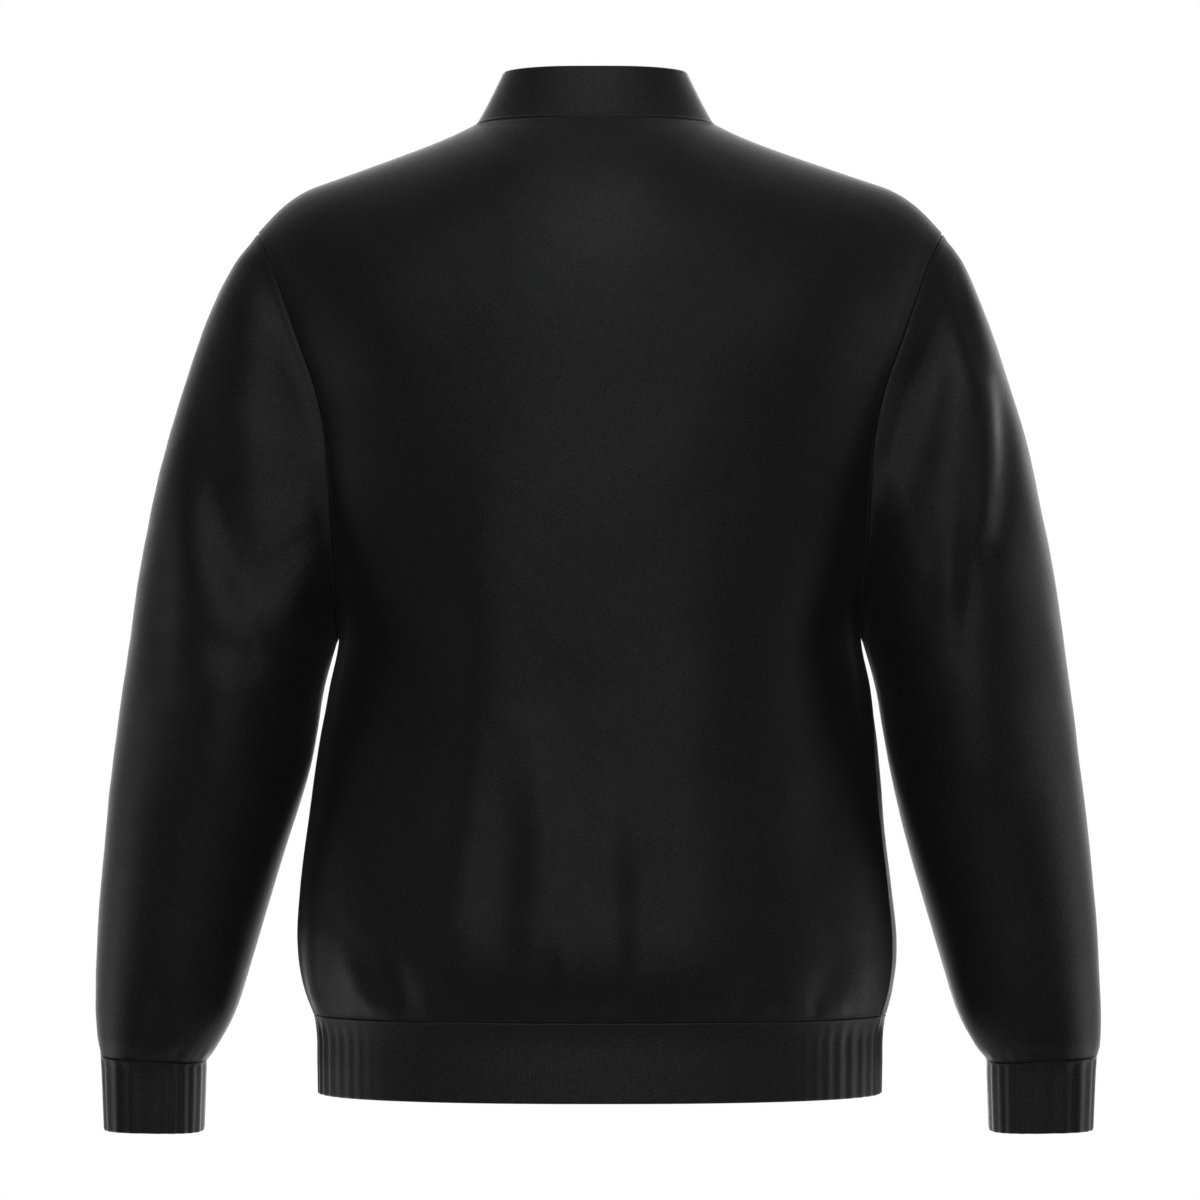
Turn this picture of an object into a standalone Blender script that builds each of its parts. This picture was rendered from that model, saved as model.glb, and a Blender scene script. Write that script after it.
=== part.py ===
"""Varsity jacket, filled out as worn: a hollow shell of cut and sewn cloth panels.

Metres, +Z up, the wearer facing -Y with the left arm at +X. The origin is the middle of the neck opening,
level with the points where the shoulder seams meet the collar. Every panel is a wall of cloth: its outer face
is worked out from the sizes and tables below. Its inner face is that one moved in by the cloth's thickness.
"""

import math

import bmesh
import bpy
import numpy as np
from mathutils import Matrix

CLOTH_WALL = 0.0022
RIB_WALL = 0.0028
SEAM_GAP = 0.0003
STEEPEST_MITRE = 1.8

NECK_HALF = 0.0875
NECK_SHIFT = 0.0035  # the neck sits a little towards the wearer's left
NECK_CROWN = 0.025
SHOULDER_HALF = 0.250
SHOULDER_SLOPE = 0.345
NECK_SLOPE = 2 * NECK_CROWN / NECK_HALF
NECK_RUNOUT = 0.020
SHOULDER_SEAM_DEPTH = -0.005
TIP_DROP = 0.0196
TIP_START = 0.205
TIP_POWER = 2.2
SHOULDER_TIP_HEIGHT = -0.079
UNDERARM_HEIGHT = -0.372
HEM_SEAM_HEIGHT = -0.648

BACK, FRONT = 1, -1
LEFT, RIGHT = 1, -1
NECK_DEPTH = {BACK: 0.058, FRONT: -0.078}
ROLL_START = {BACK: 0.5, FRONT: 0.3}  # on the centre line, as a share of the way from underarm to shoulder
ROLL_POWER = {BACK: 2.0, FRONT: 1.5}
TIP_ROLL_START = 0.5
TIP_ROLL_POWER = 2.0
ARMHOLE_HOLLOW = {BACK: 0.0, FRONT: 0.006}
SIDE_MIDDLE = 0.003
SWING = 0.0025  # the waist hangs a little towards the wearer's left
WAIST_RISE = 0.220
SECTION_POWER = 0.87
SIDE_SEAM_ANGLE = {LEFT: math.radians(83), RIGHT: math.radians(75)}
SIDE_SEAM_TURN = 0.65  # as a share of the height from hem seam to underarm

OVERLAP_HALF = 0.015
OVERLAP_END = 0.034
OVERLAP_DEPTH = 0.0034
SNAP_RADIUS = 0.0075
SNAP_RISE = 0.0026
SNAP_SIDES = 12
SNAP_PROFILE = ((0.98, 0.0), (0.96, 0.5), (0.62, 0.92))  # shares of the radius and of the rise
SNAP_HEIGHTS = (-0.104, -0.189, -0.274, -0.359, -0.444, -0.529, -0.614, -0.680)

COLLAR_RISE = 0.0390
COLLAR_LEAN = 0.0205
COLLAR_CENTRE = -0.008
COLLAR_ROWS = (0, 0.4, 0.8, 1)
COLLAR_LEAN_POWER = 0.9

CLOTH_COLOUR = (0.012, 0.012, 0.013)
RIB_COLOUR = (0.017, 0.017, 0.018)
SNAP_COLOUR = (0.02, 0.02, 0.022)

NECK_STEPS = 4
SHOULDER_STEPS = 7
BODY_ROWS = 9
ARMHOLE_STEPS = 12
SLEEVE_ROWS = 14
SLEEVE_HEAD_STATIONS = 4.5  # how far down the sleeve the armhole's own shape fades out
FOLD_POINTS = 15
FOLD_ENDS = 0.3  # the share of a fold's length over which each end dies away
FOLD_LEAST = 0.35

TORSO_COLUMNS = ("height", "half_width", "back", "front")
TORSO = (
    (-0.648, 0.2085, 0.1080, -0.1160),
    (-0.631, 0.2145, 0.1150, -0.1240),
    (-0.613, 0.2180, 0.1200, -0.1300),
    (-0.595, 0.2190, 0.1215, -0.1320),
    (-0.558, 0.2165, 0.1190, -0.1310),
    (-0.504, 0.2100, 0.1165, -0.1300),
    (-0.449, 0.2035, 0.1165, -0.1320),
    (-0.412, 0.1970, 0.1180, -0.1345),
    (-0.372, 0.1900, 0.1205, -0.1365),
    (-0.340, 0.1950, 0.1230, -0.1375),
    (-0.300, 0.2035, 0.1255, -0.1370),
    (-0.260, 0.2105, 0.1270, -0.1345),
    (-0.225, 0.2155, 0.1275, -0.1320),
    (-0.170, 0.2155, 0.1275, -0.1320),
)

ARMHOLE_COLUMNS = ("height", "half_width")
ARMHOLE = (
    (-0.372, 0.1900),
    (-0.340, 0.1905),
    (-0.300, 0.1925),
    (-0.260, 0.1945),
    (-0.228, 0.1975),
    (-0.195, 0.2045),
    (-0.160, 0.2170),
    (-0.130, 0.2280),
    (-0.105, 0.2375),
    (-0.079, 0.2500),
)

SLEEVE_COLUMNS = (
    "station", "outer_x", "outer_z", "inner_x", "inner_z", "middle_y", "half_depth", "bow", "squareness",
)
SLEEVE = (
    (0, 0.2500, -0.079, 0.1900, -0.372, -0.001, 0.064, 0.022, 2.0),
    (1, 0.2675, -0.1025, 0.1925, -0.381, -0.001, 0.068, 0.018, 2.0),
    (2, 0.2850, -0.1420, 0.1955, -0.391, 0.000, 0.072, 0.013, 2.0),
    (3, 0.3000, -0.188, 0.1990, -0.403, 0.000, 0.075, 0.008, 2.0),
    (4, 0.3145, -0.235, 0.2025, -0.418, -0.001, 0.076, 0.004, 2.0),
    (5, 0.3265, -0.289, 0.2060, -0.440, -0.002, 0.076, 0.001, 2.0),
    (6, 0.3370, -0.348, 0.2110, -0.467, -0.004, 0.074, 0.000, 2.0),
    (7, 0.3462, -0.412, 0.2190, -0.498, -0.008, 0.071, 0.000, 2.1),
    (8, 0.3555, -0.480, 0.2293, -0.533, -0.013, 0.066, 0.000, 2.1),
    (9, 0.3622, -0.540, 0.2414, -0.573, -0.018, 0.062, 0.000, 2.1),
    (10, 0.3668, -0.593, 0.2534, -0.613, -0.022, 0.058, 0.000, 2.1),
    (11, 0.3685, -0.636, 0.2644, -0.647, -0.025, 0.053, 0.000, 2.2),
    (12, 0.3680, -0.665, 0.2760, -0.670, -0.026, 0.048, 0.000, 2.3),
    (13, 0.3655, -0.681, 0.2868, -0.685, -0.027, 0.041, 0.000, 2.6),
)

SWAY_COLUMNS = ("station", "outer", "inner")
SWAY = (  # the arms too hang a little towards the wearer's left
    (0, 0.0000, 0.0000),
    (2, 0.0016, 0.0000),
    (4, 0.0025, 0.0000),
    (6, 0.0025, 0.0000),
    (8, 0.0025, 0.0022),
    (10, 0.0018, 0.0025),
    (12, 0.0010, 0.0025),
    (15, 0.0010, 0.0025),
)

CUFF = (  # the columns of the sleeve's table, whose last station the first row repeats
    (13, 0.3655, -0.681, 0.2868, -0.685, -0.027, 0.0410, 0.0, 2.6),
    (14, 0.3645, -0.693, 0.2870, -0.696, -0.027, 0.0390, 0.0, 2.7),
    (15, 0.3628, -0.7355, 0.2885, -0.7365, -0.028, 0.0380, 0.0, 2.8),
)

BAND_COLUMNS = ("height", "half_width", "back", "front")
BAND = (
    (-0.648, 0.2085, 0.1080, -0.1160),
    (-0.660, 0.2060, 0.1060, -0.1140),
    (-0.684, 0.2053, 0.1055, -0.1135),
    (-0.706, 0.2050, 0.1055, -0.1130),
)

FOLD_COLUMNS = ("x_start", "z_start", "x_middle", "z_middle", "x_end", "z_end", "width", "height")
FOLDS = {  # ridges have a height above zero, and troughs one below it
    "back": (
        (0.125, -0.340, 0.128, -0.450, 0.120, -0.570, 0.034, -0.0050),
        (0.090, -0.500, 0.088, -0.560, 0.084, -0.622, 0.016, 0.0035),
        (0.062, -0.540, 0.066, -0.575, 0.072, -0.625, 0.012, -0.0035),
        (-0.024, -0.480, -0.026, -0.560, -0.030, -0.630, 0.016, -0.0035),
        (-0.165, -0.300, -0.160, -0.430, -0.168, -0.570, 0.030, -0.0050),
        (0.170, -0.110, 0.160, -0.150, 0.140, -0.200, 0.032, 0.0030),
        (-0.170, -0.110, -0.160, -0.150, -0.140, -0.200, 0.032, 0.0030),
    ),
    "front": (
        (0.105, -0.130, 0.130, -0.190, 0.150, -0.260, 0.026, -0.0040),
        (0.080, -0.330, 0.105, -0.440, 0.110, -0.560, 0.032, -0.0050),
        (0.058, -0.480, 0.062, -0.550, 0.060, -0.625, 0.016, 0.0035),
        (0.165, -0.420, 0.160, -0.500, 0.150, -0.600, 0.022, 0.0035),
    ),
    "sleeve_left": (
        (0.229, -0.158, 0.248, -0.230, 0.240, -0.296, 0.015, -0.0050),
        (0.216, -0.215, 0.218, -0.245, 0.222, -0.275, 0.011, 0.0030),
        (0.272, -0.306, 0.255, -0.330, 0.238, -0.350, 0.014, 0.0045),
        (0.285, -0.370, 0.275, -0.430, 0.290, -0.500, 0.030, 0.0035),
        (0.300, -0.250, 0.298, -0.300, 0.292, -0.345, 0.018, -0.0035),
    ),
    "sleeve_right": (
        (0.264, -0.134, 0.288, -0.225, 0.280, -0.300, 0.013, 0.0032),
        (0.246, -0.160, 0.228, -0.230, 0.215, -0.270, 0.014, -0.0022),
        (0.268, -0.180, 0.262, -0.240, 0.262, -0.300, 0.011, -0.0022),
        (0.303, -0.245, 0.306, -0.280, 0.307, -0.320, 0.013, -0.0018),
        (0.285, -0.370, 0.272, -0.430, 0.285, -0.500, 0.030, 0.0018),
    ),
}


def read_column(table, names, name, position):
    """Reads one named column at any position along the first one, on a smooth curve through its rows."""
    rows = np.array(table)
    places = rows[:, 0]
    values = rows[:, names.index(name)]
    slopes = np.gradient(values, places)
    row = np.clip(np.searchsorted(places, position) - 1, 0, len(places) - 2)
    step = places[row + 1] - places[row]
    share = np.clip((position - places[row]) / step, 0, 1)
    rest = 1 - share
    start = (1 + 2 * share) * rest**2 * values[row] + share * rest**2 * step * slopes[row]
    end = (1 + 2 * rest) * share**2 * values[row + 1] - rest * share**2 * step * slopes[row + 1]
    return start + end


def soft_step(value):
    value = np.clip(value, 0, 1)
    return value**2 * (3 - 2 * value)


def signed_power(value, power):
    return np.sign(value) * np.abs(value) ** power


def armhole_half(height):
    return read_column(ARMHOLE, ARMHOLE_COLUMNS, "half_width", height)


def open_angle(face):
    """The angle round the section at which the armhole cuts it where it is deepest."""
    height = UNDERARM_HEIGHT + TIP_ROLL_START * (SHOULDER_TIP_HEIGHT - UNDERARM_HEIGHT)
    half = read_column(TORSO, TORSO_COLUMNS, "half_width", height)
    share = (armhole_half(height) - ARMHOLE_HOLLOW[face]) / half
    return math.asin(share ** (1 / SECTION_POWER))


def across_for(face, x_top):
    """The share across a panel whose upper end lies at x_top on the neck or shoulder line."""
    share = (x_top / SHOULDER_HALF) ** (1 / SECTION_POWER)
    return math.asin(share * math.sin(open_angle(face))) / open_angle(face)


def shoulder_line(x):
    """Height of the shoulder line, carried on over the neck, where the neck seam cuts the cloth below it."""
    beyond = np.clip(np.abs(x) - NECK_HALF, 0, None)
    crown = NECK_CROWN * np.clip(1 - (x / NECK_HALF) ** 2, 0, None)
    runout = NECK_RUNOUT * (NECK_SLOPE - SHOULDER_SLOPE) * (1 - np.exp(-beyond / NECK_RUNOUT))
    tip = np.clip((np.abs(x) - TIP_START) / (SHOULDER_HALF - TIP_START), 0, 1)
    return crown - SHOULDER_SLOPE * beyond - runout - TIP_DROP * tip**TIP_POWER


def roll_shape(face, x_top):
    """Where a column of cloth starts to roll over the shoulder, how far above that its top lies, how round."""
    share = soft_step(np.abs(x_top) / SHOULDER_HALF)
    start = ROLL_START[face] + (TIP_ROLL_START - ROLL_START[face]) * share
    power = ROLL_POWER[face] + (TIP_ROLL_POWER - ROLL_POWER[face]) * share
    tall = shoulder_line(x_top) - UNDERARM_HEIGHT
    return UNDERARM_HEIGHT + start * tall, (1 - start) * tall, 2 / power


def column_height(face, x_top, up, roll):
    """Heights along a column: up is 0 at the hem seam, 1 at the underarm and 2 at the top edge."""
    roll_height, rise, power = roll_shape(face, x_top)
    turn = math.pi * np.clip(up - 1, 0, 0.5)
    body = HEM_SEAM_HEIGHT + (UNDERARM_HEIGHT - HEM_SEAM_HEIGHT) * np.clip(up, 0, 1)
    return body + (roll_height - UNDERARM_HEIGHT) * (1 - np.cos(turn)) + rise * np.sin(roll) ** power


def torso_points(face, side, across, up):
    """Points of the back (face 1) or a front (face -1), on the wearer's left (side 1) or right (side -1)."""
    top_angle = open_angle(face)
    x_top = SHOULDER_HALF * signed_power(np.sin(top_angle * across) / math.sin(top_angle), SECTION_POWER)
    rolled = np.clip(2 * up - 3, 0, 1)
    edge_height = column_height(face, SHOULDER_HALF, up, math.pi / 2 * rolled)
    hollow = ARMHOLE_HOLLOW[face] * np.sin(math.pi * np.clip(up - 1, 0, 1)) ** 2
    edge_half = armhole_half(edge_height) - hollow
    half_width = read_column(TORSO, TORSO_COLUMNS, "half_width", edge_height)
    half_width = np.where(up > 1.5, edge_half / math.sin(top_angle) ** SECTION_POWER, half_width)

    seam_angle = np.where(side > 0, SIDE_SEAM_ANGLE[LEFT], SIDE_SEAM_ANGLE[RIGHT])
    turned = soft_step((up - SIDE_SEAM_TURN) / (1 - SIDE_SEAM_TURN))
    seam_angle = seam_angle + (math.pi / 2 - seam_angle) * turned
    if face == FRONT:
        seam_angle = math.pi - seam_angle
    cut_angle = np.arcsin(np.clip(edge_half / half_width, 0, 1) ** (1 / SECTION_POWER))
    angle = np.where(up < 1, seam_angle, cut_angle) * across

    centre_height = column_height(face, 0.0, np.minimum(up, 1.5), 0.0)
    back = read_column(TORSO, TORSO_COLUMNS, "back", centre_height) - SIDE_MIDDLE
    front = read_column(TORSO, TORSO_COLUMNS, "front", centre_height) - SIDE_MIDDLE
    deep = signed_power(np.cos(angle), SECTION_POWER)
    own, other = (back, front) if face == BACK else (front, back)
    full = SIDE_MIDDLE + np.where(deep > 0, own * deep, -other * deep)

    arc = np.sqrt(np.clip(1 - (x_top / NECK_HALF) ** 2, 0, 1))
    neck = (NECK_DEPTH[face] - SHOULDER_SEAM_DEPTH) * arc
    _, _, power = roll_shape(face, x_top)
    last_roll = np.arccos(np.clip(neck / (full - SHOULDER_SEAM_DEPTH), 0, 1) ** (1 / power))
    roll = last_roll * rolled
    depth = SHOULDER_SEAM_DEPTH + (full - SHOULDER_SEAM_DEPTH) * np.cos(roll) ** power
    depth = np.where(rolled > 0, depth, full)
    height = column_height(face, x_top, up, roll)
    x = side * half_width * signed_power(np.sin(angle), SECTION_POWER)
    near_neck = 1 - soft_step((np.abs(x_top) - NECK_HALF) / (SHOULDER_HALF - NECK_HALF))
    waist = np.sin(math.pi * np.clip((edge_height - HEM_SEAM_HEIGHT) / WAIST_RISE, 0, 1))
    x = x + NECK_SHIFT * near_neck * soft_step(rolled) + SWING * waist
    return np.stack([x, depth, height], axis=-1)


def ring_points(table, side, station, angle):
    """Points of a sleeve or cuff. The angle runs from its outer edge, 0, over the back to its inner edge."""
    sizes = {name: read_column(table, SLEEVE_COLUMNS, name, station) for name in SLEEVE_COLUMNS[1:]}
    out = signed_power(np.cos(angle), 2 / sizes["squareness"])
    round_back = signed_power(np.sin(angle), 2 / sizes["squareness"])
    sizes["outer_x"] = sizes["outer_x"] + side * read_column(SWAY, SWAY_COLUMNS, "outer", station)
    sizes["inner_x"] = sizes["inner_x"] + side * read_column(SWAY, SWAY_COLUMNS, "inner", station)
    middle_x = (sizes["outer_x"] + sizes["inner_x"]) / 2
    middle_z = (sizes["outer_z"] + sizes["inner_z"]) / 2
    x = middle_x + (sizes["outer_x"] - sizes["inner_x"]) / 2 * out - sizes["bow"] * round_back**2
    y = sizes["middle_y"] + sizes["half_depth"] * round_back
    z = middle_z + (sizes["outer_z"] - sizes["inner_z"]) / 2 * out
    return np.stack([side * x, y, z], axis=-1)


def grid_normals(points, closed):
    """Unit normals of a grid of points. A closed grid joins up along its second axis."""
    along = np.gradient(points, axis=0)
    if closed:
        around = np.roll(points, -1, axis=1) - np.roll(points, 1, axis=1)
    else:
        around = np.gradient(points, axis=1)
    normals = np.cross(around, along)
    return normals / np.linalg.norm(normals, axis=-1, keepdims=True)


def fold_heights(folds, x, z):
    """How far the cloth stands out or sinks in at each point, from the table's ridges and troughs."""
    total = np.zeros_like(x)
    for row in folds:
        fold = dict(zip(FOLD_COLUMNS, row))
        nearest = np.full_like(x, np.inf)
        along = np.zeros_like(x)
        for share in np.linspace(0, 1, FOLD_POINTS):
            start, middle, end = (1 - share) ** 2, 2 * share * (1 - share), share**2
            line_x = start * fold["x_start"] + middle * fold["x_middle"] + end * fold["x_end"]
            line_z = start * fold["z_start"] + middle * fold["z_middle"] + end * fold["z_end"]
            distance = np.hypot(x - line_x, z - line_z)
            along = np.where(distance < nearest, share, along)
            nearest = np.minimum(nearest, distance)
        ends = soft_step(along / FOLD_ENDS) * soft_step((1 - along) / FOLD_ENDS)
        strength = FOLD_LEAST + (1 - FOLD_LEAST) * ends
        total += fold["height"] * np.exp(-((nearest / fold["width"]) ** 2)) * strength
    return total


def torso_panel(face, side, across, folds, cover=0.0):
    """One panel's grid of points, rows from the hem up. cover sinks the edge under the other front."""
    rows = np.concatenate([np.linspace(0, 1, BODY_ROWS + 1), np.linspace(1, 2, ARMHOLE_STEPS + 1)[1:]])
    up, column = np.meshgrid(rows, across, indexing="ij")
    if face > 0:
        points = torso_points(face, np.where(column < 0, -1.0, 1.0), np.abs(column), up)
    else:
        points = torso_points(face, float(side), column, up)
    facing = 1 if face * side < 0 else -1
    normals = facing * grid_normals(points, closed=False)
    from_seams = soft_step(up / 0.12) * soft_step((2 - up) / 0.25) * soft_step((1 - np.abs(column)) / 0.14)
    lift = fold_heights(folds, points[..., 0] * (1 if face > 0 else side), points[..., 2]) * from_seams
    own_x = points[..., 0] * side
    under = soft_step((OVERLAP_END - own_x) / (OVERLAP_END - OVERLAP_HALF))
    return points + normals * (lift - cover * under)[..., None], facing


def sleeve_grid(side, armhole, folds):
    """A sleeve's rings from the armhole, which the panels give, to the cuff seam."""
    stations = np.linspace(0, SLEEVE[-1][0], SLEEVE_ROWS + 1)
    angles = np.linspace(0, 2 * math.pi, 2 * ARMHOLE_STEPS + 1)[:-1]
    station, angle = np.meshgrid(stations, angles, indexing="ij")
    points = ring_points(SLEEVE, side, station, angle)
    fade = 1 - soft_step(station / SLEEVE_HEAD_STATIONS)
    points = points + fade[..., None] * (armhole - points[0])[None]
    normals = -side * grid_normals(points, closed=True)
    on_back = soft_step(np.sin(angle) / 0.35)
    on_front = soft_step(-np.sin(angle) / 0.35)
    from_seams = soft_step(station / 1.5) * soft_step((SLEEVE[-1][0] - station) / 1.0)
    lift = fold_heights(folds, points[..., 0] * side, points[..., 2])
    lift = lift * (on_back + 0.8 * on_front) * from_seams
    return points + normals * lift[..., None]


class Panel:
    """A grid of outer points that becomes a wall of cloth, meeting its neighbours at the seams."""

    def __init__(self, name, points, facing, wall, colour, closed=False):
        self.name = name
        self.points = points
        self.facing = facing
        self.wall = wall
        self.colour = colour
        self.closed = closed
        self.normals = facing * grid_normals(points, closed)

    def edge_places(self):
        """Row and column of every point on the panel's edges, with the steps that lead into the panel."""
        rows, columns = self.points.shape[:2]
        for row in range(rows):
            for column in range(columns):
                down = 1 if row == 0 else -1 if row == rows - 1 else 0
                over = 0
                if not self.closed:
                    over = 1 if column == 0 else -1 if column == columns - 1 else 0
                if down or over:
                    yield row, column, down, over

    def inward(self, row, column, down, over):
        step = np.zeros(3)
        if down:
            way = self.points[row + down, column] - self.points[row, column]
            step += way / np.linalg.norm(way)
        if over:
            way = self.points[row, column + over] - self.points[row, column]
            step += way / np.linalg.norm(way)
        return step / np.linalg.norm(step)


def seam_key(point):
    return tuple(np.round(point * 1e4 + 0.137).astype(int))


def share_seams(panels):
    """Gives all pieces that meet at a point one normal there, which mitres their edges, and opens the gap."""
    meetings = {}
    for panel in panels:
        for place in panel.edge_places():
            meetings.setdefault(seam_key(panel.points[place[:2]]), []).append((panel, place))
    for sharing in meetings.values():
        normal = sum(panel.normals[place[:2]] for panel, place in sharing)
        normal = normal / np.linalg.norm(normal)
        ways = [panel.inward(*place) for panel, place in sharing]
        mean_way = sum(ways) / len(ways)
        squareness = [max(float(panel.normals[place[:2]] @ normal), 1 / STEEPEST_MITRE)
                      for panel, place in sharing]
        thickness = sum(panel.wall / square for (panel, _), square in zip(sharing, squareness)) / len(sharing)
        for (panel, place), way in zip(sharing, ways):
            spot = place[:2]
            apart = np.zeros(3)
            if len(sharing) > 1:
                apart = way - mean_way
                apart = apart - (apart @ normal) * normal
                apart = apart / np.linalg.norm(apart) * SEAM_GAP / 2
            panel.outer[spot] = panel.points[spot] + apart
            panel.inner[spot] = panel.outer[spot] - normal * thickness


def build_panel(panel):
    rows, columns = panel.points.shape[:2]
    shell = bmesh.new()
    outer = [[shell.verts.new(point) for point in row] for row in panel.outer]
    inner = [[shell.verts.new(point) for point in row] for row in panel.inner]
    last = columns if panel.closed else columns - 1

    def face(*corners):
        shell.faces.new(corners if panel.facing > 0 else corners[::-1])

    def edge_face(first, second, turned):
        """The cut edge of the cloth, split along the same diagonal on both sides of a seam."""
        (outer_a, inner_a), (outer_b, inner_b) = first, second
        if tuple(outer_a.co) < tuple(outer_b.co):
            halves = ((outer_a, inner_a, inner_b), (outer_a, inner_b, outer_b))
        else:
            halves = ((outer_a, inner_a, outer_b), (inner_a, inner_b, outer_b))
        for half in halves:
            face(*(half[::-1] if turned else half))

    for row in range(rows - 1):
        for column in range(last):
            over = (column + 1) % columns
            face(outer[row][column], outer[row][over], outer[row + 1][over], outer[row + 1][column])
            face(inner[row][column], inner[row + 1][column], inner[row + 1][over], inner[row][over])
    for column in range(last):
        over = (column + 1) % columns
        for row, turned in ((0, False), (-1, True)):
            edge_face((outer[row][column], inner[row][column]), (outer[row][over], inner[row][over]), turned)
    if not panel.closed:
        for row in range(rows - 1):
            for column, turned in ((0, True), (-1, False)):
                first = (outer[row][column], inner[row][column])
                edge_face(first, (outer[row + 1][column], inner[row + 1][column]), turned)
    add_object(panel.name, shell, panel.colour)


def add_object(name, shell, colour, roughness=0.9, metallic=0.0):
    mesh = bpy.data.meshes.new(name)
    shell.to_mesh(mesh)
    shell.free()
    mesh.shade_smooth()
    mesh.set_sharp_from_angle(angle=math.radians(40))
    material = bpy.data.materials.new(name)
    material.use_nodes = True
    shader = material.node_tree.nodes["Principled BSDF"]
    shader.inputs["Base Color"].default_value = (*colour, 1)
    shader.inputs["Roughness"].default_value = roughness
    shader.inputs["Metallic"].default_value = metallic
    mesh.materials.append(material)
    piece = bpy.data.objects.new(name, mesh)
    bpy.context.scene.collection.objects.link(piece)
    return piece


def collar_grid(seam):
    """The stand collar, from the neck seam up: it rises, and leans in towards the middle of the neck."""
    inward = np.array([NECK_SHIFT, COLLAR_CENTRE, 0]) - seam
    inward[:, 2] = 0
    inward = inward / np.linalg.norm(inward, axis=-1, keepdims=True)
    rows = []
    for share in COLLAR_ROWS:
        row = seam + inward * COLLAR_LEAN * share**COLLAR_LEAN_POWER
        row[:, 2] += COLLAR_RISE * share
        rows.append(row)
    return np.array(rows)


def band_grid(seam):
    """The hem band: the body's lower edge, carried down and drawn in by the band's own sizes."""
    top, *lower = [dict(zip(BAND_COLUMNS, row)) for row in BAND]
    rows = [seam]
    for sizes in lower:
        row = seam.copy()
        row[:, 0] *= sizes["half_width"] / top["half_width"]
        deep = np.where(seam[:, 1] > SIDE_MIDDLE, sizes["back"] / top["back"], sizes["front"] / top["front"])
        row[:, 1] = SIDE_MIDDLE + (seam[:, 1] - SIDE_MIDDLE) * deep
        row[:, 2] = sizes["height"]
        rows.append(row)
    return np.array(rows)


def add_snap(name, line, height):
    """A domed snap cap on a line of points up the cloth, square to the cloth behind it."""
    order = np.argsort(line[:, 2])
    spots = [np.array([0, np.interp(at, line[order, 2], line[order, 1]), at])
             for at in (height - SNAP_RADIUS, height, height + SNAP_RADIUS)]
    upward = spots[2] - spots[0]
    upward = upward / np.linalg.norm(upward)
    out = np.cross(upward, [1, 0, 0])
    out = out if out[1] < 0 else -out
    seat = max(float((spot - spots[1]) @ out) for spot in spots) + SEAM_GAP + 0.0001
    cap = bmesh.new()
    rings = []
    for radius, rise in SNAP_PROFILE:
        ring = []
        for step in range(SNAP_SIDES):
            turn = 2 * math.pi * step / SNAP_SIDES
            across = SNAP_RADIUS * radius
            ring.append(cap.verts.new((across * math.cos(turn), across * math.sin(turn), SNAP_RISE * rise)))
        rings.append(ring)
    crown = cap.verts.new((0, 0, SNAP_RISE))
    for lower, upper in zip(rings, rings[1:]):
        for step in range(SNAP_SIDES):
            over = (step + 1) % SNAP_SIDES
            cap.faces.new((lower[step], lower[over], upper[over], upper[step]))
    for step in range(SNAP_SIDES):
        cap.faces.new((rings[-1][step], rings[-1][(step + 1) % SNAP_SIDES], crown))
    cap.faces.new(rings[0][::-1])
    piece = add_object(name, cap, SNAP_COLOUR, roughness=0.35, metallic=0.8)
    right = np.cross(upward, out)
    turned = Matrix([right, upward, out]).transposed().to_4x4()
    piece.matrix_world = Matrix.Translation(spots[1] + out * seat) @ turned


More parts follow.
